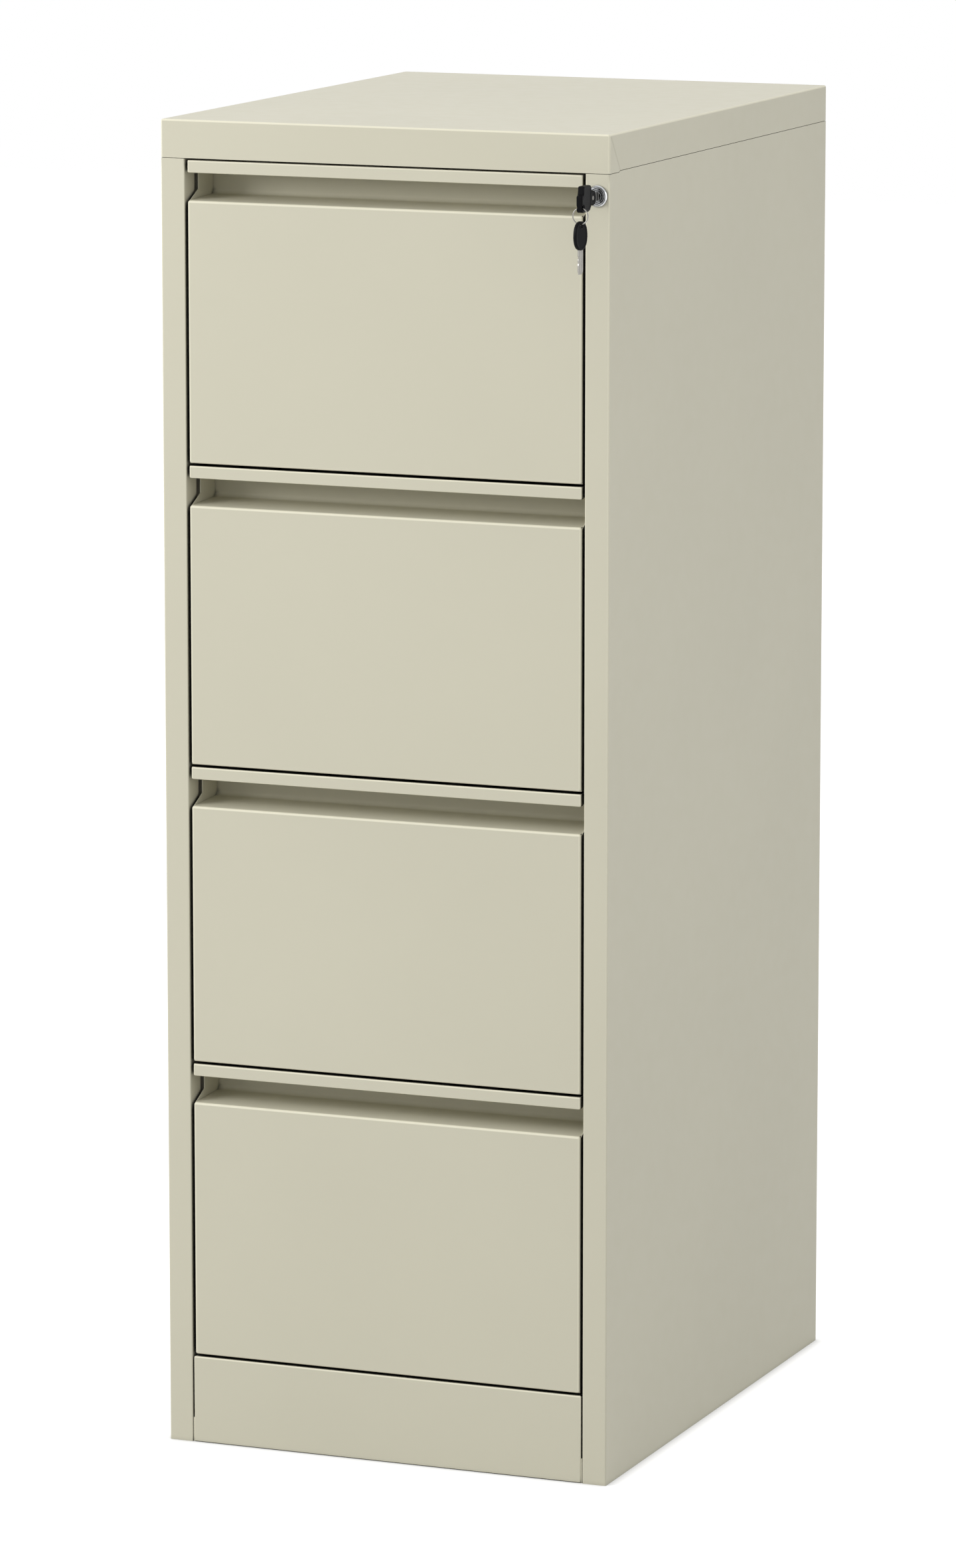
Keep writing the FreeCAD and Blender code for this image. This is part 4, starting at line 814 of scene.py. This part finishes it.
def blade_shell(length, origin, axes, cuts):
    """A key's blade: a section carried along it, grooved on both faces and cut on one edge.

    Half the thickness falls towards both edges and in two long grooves; the cut edge dips
    by triangles at the cuts; both edges draw in over the last part to a blunt tip.
    """
    width, gauge = 7.2 * MM, 2 * MM
    tip, tip_fall, tip_rise = 3.2 * MM, 1.2 * MM, 2.6 * MM
    cut_reach = 1.5 * MM
    grooves = ((0.16 * width, 0.7 * MM, 0.45), (-0.22 * width, 0.35 * MM, 0.35))
    place = np.linspace(0, 1, 61)[:, None] * length
    share = np.linspace(0, 1, 33)[None, :]
    dip = sum(depth * np.clip(1 - abs(place - spot) / cut_reach, 0, 1) for spot, depth in cuts)
    near_tip = np.clip((place - length + tip) / tip, 0, 1)
    top = width / 2 - dip - near_tip * tip_fall
    foot = -width / 2 + near_tip ** 1.5 * tip_rise
    across = foot + share * (top - foot)
    groove = sum(np.exp(-(((across - spot) / reach) ** 4)) * depth for spot, reach, depth in grooves)
    groove = groove * np.clip(2 - place / length * 1.6, 0.4, 1)
    edge = 0.25 * (abs(2 * share - 1) ** 8)
    half = gauge / 2 * (1 - groove - edge)
    points = []
    for sign in (1, -1):
        flat = place[..., None] * axes[0] + across[..., None] * axes[1] + sign * half[..., None] * axes[2]
        points.append(origin + flat)
    around = np.concatenate([points[0], points[1][:, ::-1], points[0][:, :1]], axis=1)
    hand = np.sign(np.cross(axes[0], axes[1]) @ axes[2])
    patches = [(around, hand * grid_normals(around, wrap=True))]
    for end, sign in ((0, -1), (-1, 1)):
        patches.append(level(np.stack([points[0][end], points[1][end]]), sign * axes[0]))
    return solid(patches)


def closed_outline(corners, radii):
    """Close points along a polygon with rounded corners, from the middle of its last side."""
    start = (corners[-1] + corners[0]) / 2
    parts = []
    for points, _ in bent_path([start, *corners, start], radii, 8):
        if len(points) == 2:
            share = np.linspace(0, 1, 25)[:, None]
            points = points[0] + share * (points[1] - points[0])
        parts.append(points[:-1])
    return np.concatenate(parts)


def rolled(depth, radius):
    """Fall of a surface near its edge that is rolled over by a quarter circle."""
    inward = np.clip(radius - depth, 0, radius)
    return radius - np.sqrt(np.maximum(radius * radius - inward * inward, 0))


def head_shell(outline, gauge, eye, hole, fan, roll, panel, well, origin, axes):
    """A moulded key head with an eye: two dished faces, a wall, and the eye's wall.

    Rays fan out from a point inside the eye. Each starts on the eye's circle and ends on
    the outline, whose radius is read at the ray's angle. A face stands at half the
    thickness, less the roll of its edge, a shallow dish inside its rim and a well round
    the eye; the depth in from the edge is the distance to the nearest outline point.
    """
    rays, rings, ease = 121, 41, 0.6
    centre = eye + fan
    angle = np.linspace(0, 2 * np.pi, rays)
    ray = np.stack([np.cos(angle), np.sin(angle)], -1)
    polar = outline - centre
    bearing = np.arctan2(polar[:, 1], polar[:, 0])
    order = np.argsort(bearing)
    distance = np.linalg.norm(polar, axis=1)[order]
    far = np.interp(angle, bearing[order], distance, period=2 * np.pi)
    along = ray @ fan
    near = np.sqrt(along * along - fan @ fan + hole * hole) - along
    even = np.linspace(0, 1, rings)
    share = (1 - np.cos(np.pi * even)) / 2 * ease + even * (1 - ease)
    reach = near[:, None] + (far - near)[:, None] * share
    flat = centre + reach[..., None] * ray[:, None]
    depth = np.linalg.norm(flat[:, :, None] - outline, axis=3).min(axis=2)
    depth[:, -1] = 0
    from_hole = np.linalg.norm(flat - eye, axis=2) - hole
    dish_start, dish_width, dish = panel
    well_width, well_depth = well
    clear = np.minimum(depth - dish_start, from_hole - well_width)
    height = gauge / 2 - dish * smooth(clear / dish_width) - rolled(depth, roll)
    height = height - well_depth * smooth(1 - from_hole / well_width)
    faces = []
    for sign in (1, -1):
        place = origin + laid(flat, axes[0], axes[1]) + sign * height[..., None] * axes[2]
        place[-1] = place[0]
        normals = grid_normals(place.transpose(1, 0, 2), wrap=True).transpose(1, 0, 2)
        normals = normals * np.sign((normals @ axes[2]).sum() * sign)
        faces.append((place, normals))
    for column, sign in ((0, -1), (-1, 1)):
        wall = np.stack([faces[0][0][:, column], faces[1][0][:, column]])
        step = np.concatenate([wall[0][-2:-1], wall[0], wall[0][1:2]])
        spoke = np.cross(step[2:] - step[:-2], axes[2])
        spoke *= np.sign(np.einsum("ij,ij->", spoke, laid(ray, axes[0], axes[1])))
        spoke /= np.linalg.norm(spoke, axis=1)[:, None]
        faces.append(level(wall, sign * spoke))
    return solid(faces)


def make_lock_key():
    """The key in the lock: blade with shoulder and tang, rivet, forked neck and bow.

    The rivet's and the cheeks' outlines are in millimetres, along the rivet and out from
    its middle; the bow's corners are behind and above it.
    """
    y = STILE_LOW[1]
    collar, rivet_y = y - 4.5 * MM, y - 18 * MM
    length = high("key_blade")[1] - collar
    cuts = np.array([(4, 0.9), (7, 1.6), (10, 0.6), (13, 1.3), (16, 0.9)]) * MM
    blade = blade_shell(length, np.array([LOCK_X, collar, LOCK_Z]), (BACK, UP, RIGHT), cuts)
    steel = joined(blade, tang_shell(collar, rivet_y))
    pin = np.array([LOCK_X, rivet_y, LOCK_Z])
    outline = np.array([
        (-2.75, 0), (-2.75, 2.0), (-2.35, 2.4), (-2.25, 1.2),
        (2.25, 1.2), (2.35, 2.4), (2.75, 2.0), (2.75, 0),
    ])
    rivet = solid(turned(outline * MM, np.full(6, 0.1) * MM, pin, RIGHT, UP, 32))
    add_piece("key_steel", steel, "lock_key", "key_steel", "key_blade")
    add_piece("key_rivet", rivet, "lock_key", "key_steel")
    ring = np.array([
        (1.15, 1.25), (1.15, 7.3), (2.8, 7.3), (2.8, 2.7), (2.2, 2.5), (2.2, 1.25), (1.15, 1.25),
    ])
    radii = np.array([0.2, 0.7, 0.1, 0.1, 0])
    cheeks = [solid(turned(ring * (side, 1) * MM, radii * MM, pin, RIGHT, UP)) for side in (-1, 1)]
    web = prism(pin + np.array([-1.3, -7.5, -5.5]) * MM, pin + np.array([1.3, -3.5, 5.5]) * MM)
    front, back, tall, foot = -30.3, -5.0, 13.2, -12.0
    step, step_tall, step_foot = front + 4, 5.8, 3.8
    corners = [(front, foot), (back, foot), (back, tall), (step, tall), (step, step_tall), (front, step_foot)]
    outline = closed_outline(np.array(corners) * MM, np.array([4.5, 9.0, 4.5, 2.0, 1.5, 1.5]) * MM)
    eye, hole = np.array([front + 3.4, -7.1]) * MM, 2.2 * MM
    fan = np.array([0.9, 0]) * MM
    panel = np.array([2.4, 0.8, 0.35]) * MM
    well = np.array([1.5, 1.1]) * MM
    gauge, roll = 6.4 * MM, 1.4 * MM
    bow = head_shell(outline, gauge, eye, hole, fan, roll, panel, well, pin, (BACK, UP, RIGHT))
    add_piece("key_bow", joined(bow, *cheeks, solid(web)), "folding_head", "key_black", "key_head")


def tang_shell(collar, rivet_y):
    """Shoulder and tang: the half width along the key, mirrored, carried through the gauge."""
    half_gauge, tang, shoulder_half = MM, 3 * MM, 4.2 * MM
    shoulder = collar - 3.5 * MM
    turn = np.linspace(0, QUARTER, 9)
    along = np.concatenate([rivet_y - tang * np.cos(turn), [shoulder, shoulder, collar]])
    half = np.concatenate([tang * np.sin(turn), [tang, shoulder_half, shoulder_half]])
    sides = []
    for sign in (-1, 1):
        place = np.stack([
            np.stack([np.full(len(along), LOCK_X + sign * half_gauge), along, LOCK_Z + edge * half], -1)
            for edge in (-1, 1)
        ])
        sides.append(level(place, sign * RIGHT))
    for edge, sign in ((0, -1), (1, 1)):
        sides.append(level(np.stack([sides[0][0][edge], sides[1][0][edge]]), sign * UP))
    sides.append(level(np.stack([sides[0][0][:, -1], sides[1][0][:, -1]]), BACK))
    return solid(sides)


def make_ring():
    """The split ring: a flat wire wound twice, its second turn beside the first.

    The wire's middle goes round the circle by the angle; it steps sideways by one wire's
    width in a short smooth joggle half way along. Its section is a rounded rectangle, by
    the cosine and sine raised to a power below one.
    """
    wire_out, wire_side, pitch, power = 0.5 * MM, 0.27 * MM, 0.6 * MM, 0.6
    start, joggle, inset = np.radians(35), 0.06, 0.6 * MM
    middle = (low("key_ring") + high("key_ring")) / 2
    radius = (high("key_ring")[0] - low("key_ring")[0]) / 2 - inset
    turn = np.linspace(0, 1, 145)[:, None]
    angle = turn * 4 * np.pi + start
    side = (smooth((turn - 0.5) / joggle + 0.5) - 0.5) * pitch
    around = np.linspace(0, 2 * np.pi, 17)[None, :]
    outward = np.cos(angle)[..., None] * RIGHT + np.sin(angle)[..., None] * UP
    section_out = radius + wire_out * np.sign(np.cos(around)) * abs(np.cos(around)) ** power
    section_side = side + wire_side * np.sign(np.sin(around)) * abs(np.sin(around)) ** power
    place = middle + section_out[..., None] * outward + section_side[..., None] * BACK
    patches = [(place, -grid_normals(place, wrap=True))]
    for end, sign in ((0, -1), (-1, 1)):
        middles = np.broadcast_to(place[end][:-1].mean(axis=0), place[end].shape)
        patches.append(level(np.stack([place[end], middles]), sign * np.cross(outward[end, 0], BACK)))
    add_piece("split_ring", solid(patches), "ring", "ring_steel", "key_ring")


def make_spare():
    """The spare key: an oval moulded head with its eye, and a cut and grooved blade.

    The oval is a superellipse: its half sizes times the cosine and sine of the bearing,
    each raised to two over the exponent.
    """
    turn = np.radians(13)
    across = np.array([np.sin(turn), np.cos(turn), 0])
    through = np.array([np.cos(turn), -np.sin(turn), 0])
    middle = (low("spare_key_head") + high("spare_key_head")) / 2
    halves, exponent = np.array([10, 13.8]) * MM, 2.3
    bearing = np.linspace(0, 2 * np.pi, 160, endpoint=False)
    oval = np.stack([np.cos(bearing), np.sin(bearing)], -1)
    outline = np.sign(oval) * abs(oval) ** (2 / exponent) * halves
    eye, hole = np.array([0, halves[1] - 4 * MM]), 2.2 * MM
    panel = np.array([2.0, 0.6, 0.3]) * MM
    well = np.array([0.6, 0.3]) * MM
    gauge, roll = 3.5 * MM, 1.0 * MM
    axes = (across, UP, through)
    head = head_shell(outline, gauge, eye, hole, np.zeros(2), roll, panel, well, middle, axes)
    add_piece("spare_head", head, "spare_key", "key_black", "spare_key_head")
    foot = middle - UP * (halves[1] - 0.4 * MM)
    cuts = np.array([(7.4, 1.2), (13, 0.5)]) * MM
    blade = blade_shell(23.4 * MM, foot, (-UP, -across, through), cuts)
    add_piece("spare_steel", blade, "spare_key", "key_steel", "spare_key_blade")


# Stage

def seen_directly(nodes):
    """One where a ray comes from the camera, a reflection or a transmission, else nought."""
    rays = nodes.add("ShaderNodeLightPath").outputs
    larger = nodes.math("MAXIMUM", rays["Is Camera Ray"], rays["Is Glossy Ray"])
    return nodes.math("MAXIMUM", larger, rays["Is Transmission Ray"])


def make_floor():
    """A pale floor that looks white and keeps the cabinet's shadow.

    It glows where it is seen directly, less so close to where the cabinet touches it, which paints a contact
    shadow.
    """
    reach, contact_reach, glow_level = 12.0, 12 * MM, 0.75
    mesh = bpy.data.meshes.new("floor")
    corners = [(-reach, -reach, 0), (reach, -reach, 0), (reach, reach, 0), (-reach, reach, 0)]
    mesh.from_pydata(corners, [], [(0, 1, 2, 3)])
    nodes = Nodes(bpy.data.materials.new("floor"))
    nodes.shader.inputs["Base Color"].default_value = (0.45, 0.45, 0.445, 1)
    nodes.shader.inputs["Roughness"].default_value = 0.9
    nodes.shader.inputs["Specular IOR Level"].default_value = 0.0
    # painted shadow: the glow falls where the cabinet stands within the contact reach
    painted_contact_shadow = nodes.math("MULTIPLY", nodes.nearness(contact_reach), seen_directly(nodes))
    glow = nodes.add("ShaderNodeEmission", Color=(1, 1, 1, 1))
    nodes.feed(nodes.math("MULTIPLY", painted_contact_shadow, glow_level), glow.inputs["Strength"])
    both = nodes.add("ShaderNodeAddShader")
    nodes.feed(nodes.shader.outputs[0], both.inputs[0])
    nodes.feed(glow.outputs[0], both.inputs[1])
    nodes.feed(both.outputs[0], nodes.tree.nodes["Material Output"].inputs["Surface"])
    mesh.materials.append(nodes.owner)
    linked("floor", mesh)


def make_world(stage):
    """Soft room light, brighter overhead, seen as white."""
    world = bpy.data.worlds.new("room")
    nodes = Nodes(world)
    split = nodes.add("ShaderNodeSeparateXYZ")
    nodes.feed(nodes.add("ShaderNodeTexCoord").outputs["Generated"], split.inputs[0])
    overhead = stage.fill_level + stage.fill_rise
    room = nodes.spread(split.outputs["Z"], stage.fill_level, overhead, start=0.0, end=1.0)
    level = nodes.spread(seen_directly(nodes), room, 1.0, start=0.0, end=1.0)
    background = nodes.tree.nodes["Background"].inputs
    background["Color"].default_value = (1, 1, 1, 1)
    nodes.feed(level, background["Strength"])
    bpy.context.scene.world = world


def make_lamp(name, place, aim, width, height, power):
    """A soft rectangular lamp that looks at a point."""
    lamp = bpy.data.lights.new(name, "AREA")
    lamp.shape = "RECTANGLE"
    lamp.size, lamp.size_y = width, height
    lamp.energy = power
    holder = linked(name, lamp)
    holder.location = place
    holder.rotation_euler = (Vector(aim) - Vector(place)).to_track_quat("-Z", "Y").to_euler()
    holder.visible_camera = False


def make_lamps(stage):
    """A large lamp at the left in front and a weak tall one beside the right panel."""
    make_lamp("key", (-2.4, -2.6, 2.2), (0, -0.3, 0.8), 1.5, 1.5, stage.key_power)
    make_lamp("side", (1.5, -0.55, 1.3), (0.235, -0.3, 1.2), 0.6, 1.4, stage.side_power)


def make_camera(stage):
    """The camera at the photograph's place and angle."""
    camera = bpy.data.cameras.new("camera")
    camera.lens = stage.lens
    camera.sensor_width = 36.0
    camera.clip_end = 100.0
    holder = linked("camera", camera)
    holder.location = stage.place
    holder.rotation_euler = (QUARTER - stage.elevation, 0, stage.azimuth)
    bpy.context.scene.camera = holder


# Operators

class CABINET_OT_casing(bpy.types.Operator):
    """Build the cap, both side panels and the kick plate"""

    bl_idname = "cabinet.casing"
    bl_label = "Casing"

    def execute(self, context):
        sizes = context.scene.cabinet_sheets
        make_cap(sizes)
        make_side(sizes, -1, "left_side", "left_side_panel")
        make_side(sizes, 1, "right_side", "right_side_panel")
        make_kick(sizes)
        return {"FINISHED"}


class CABINET_OT_fronts(bpy.types.Operator):
    """Build the four drawer fronts with their recessed handles"""

    bl_idname = "cabinet.fronts"
    bl_label = "Drawer Fronts"

    def execute(self, context):
        for drawer in DRAWERS:
            make_front(context.scene.cabinet_sheets, drawer)
        return {"FINISHED"}


class CABINET_OT_lock(bpy.types.Operator):
    """Build the lock's rim and its plug"""

    bl_idname = "cabinet.lock"
    bl_label = "Lock"

    def execute(self, context):
        make_housing()
        make_plug()
        return {"FINISHED"}


class CABINET_OT_keys(bpy.types.Operator):
    """Build the folding key, the ring and the spare key"""

    bl_idname = "cabinet.keys"
    bl_label = "Keys"

    def execute(self, context):
        make_lock_key()
        make_ring()
        make_spare()
        return {"FINISHED"}


class CABINET_OT_finishes(bpy.types.Operator):
    """Make the materials and give each carried-over part its own"""

    bl_idname = "cabinet.finishes"
    bl_label = "Finishes"

    def execute(self, context):
        make_finishes(context.scene.cabinet_colours)
        slots = {part["node"]: part["material_slot"] for part in frame["record"]["subparts"]}
        for name, node in frame["nodes"].items():
            node.data.materials.clear()
            node.data.materials.append(FINISHES[slots[name]])
        return {"FINISHED"}


class CABINET_OT_stage(bpy.types.Operator):
    """Set up the floor, the light and the camera"""

    bl_idname = "cabinet.stage"
    bl_label = "Stage"

    def execute(self, context):
        stage = context.scene.cabinet_stage
        make_floor()
        make_world(stage)
        make_lamps(stage)
        make_camera(stage)
        context.scene.view_settings.view_transform = "Standard"
        return {"FINISHED"}


class CABINET_PT_panel(bpy.types.Panel):
    """Steps that build the cabinet's looks"""

    bl_label = "Filing Cabinet"
    bl_idname = "CABINET_PT_panel"
    bl_space_type = "VIEW_3D"
    bl_region_type = "UI"
    bl_category = "Cabinet"

    def draw(self, context):
        for operator in STEPS:
            self.layout.operator(operator.bl_idname)
        for group in ("cabinet_sheets", "cabinet_colours", "cabinet_stage"):
            settings = getattr(context.scene, group)
            box = self.layout.box()
            for name in settings.__annotations__:
                box.prop(settings, name)


STEPS = (
    CABINET_OT_finishes,
    CABINET_OT_casing,
    CABINET_OT_fronts,
    CABINET_OT_lock,
    CABINET_OT_keys,
    CABINET_OT_stage,
)
GROUPS = (
    ("cabinet_sheets", SheetSizes),
    ("cabinet_colours", FinishColours),
    ("cabinet_stage", StageSettings),
)


def register():
    for name, group in GROUPS:
        bpy.utils.register_class(group)
        setattr(bpy.types.Scene, name, PointerProperty(type=group))
    for cls in (*STEPS, CABINET_PT_panel):
        bpy.utils.register_class(cls)


def unregister():
    for cls in (CABINET_PT_panel, *reversed(STEPS)):
        bpy.utils.unregister_class(cls)
    for name, group in reversed(GROUPS):
        delattr(bpy.types.Scene, name)
        bpy.utils.unregister_class(group)


def main():
    """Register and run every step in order."""
    register()
    bpy.ops.cabinet.finishes()
    bpy.ops.cabinet.casing()
    bpy.ops.cabinet.fronts()
    bpy.ops.cabinet.lock()
    bpy.ops.cabinet.keys()
    bpy.ops.cabinet.stage()


if __name__ == "__main__":
    main()
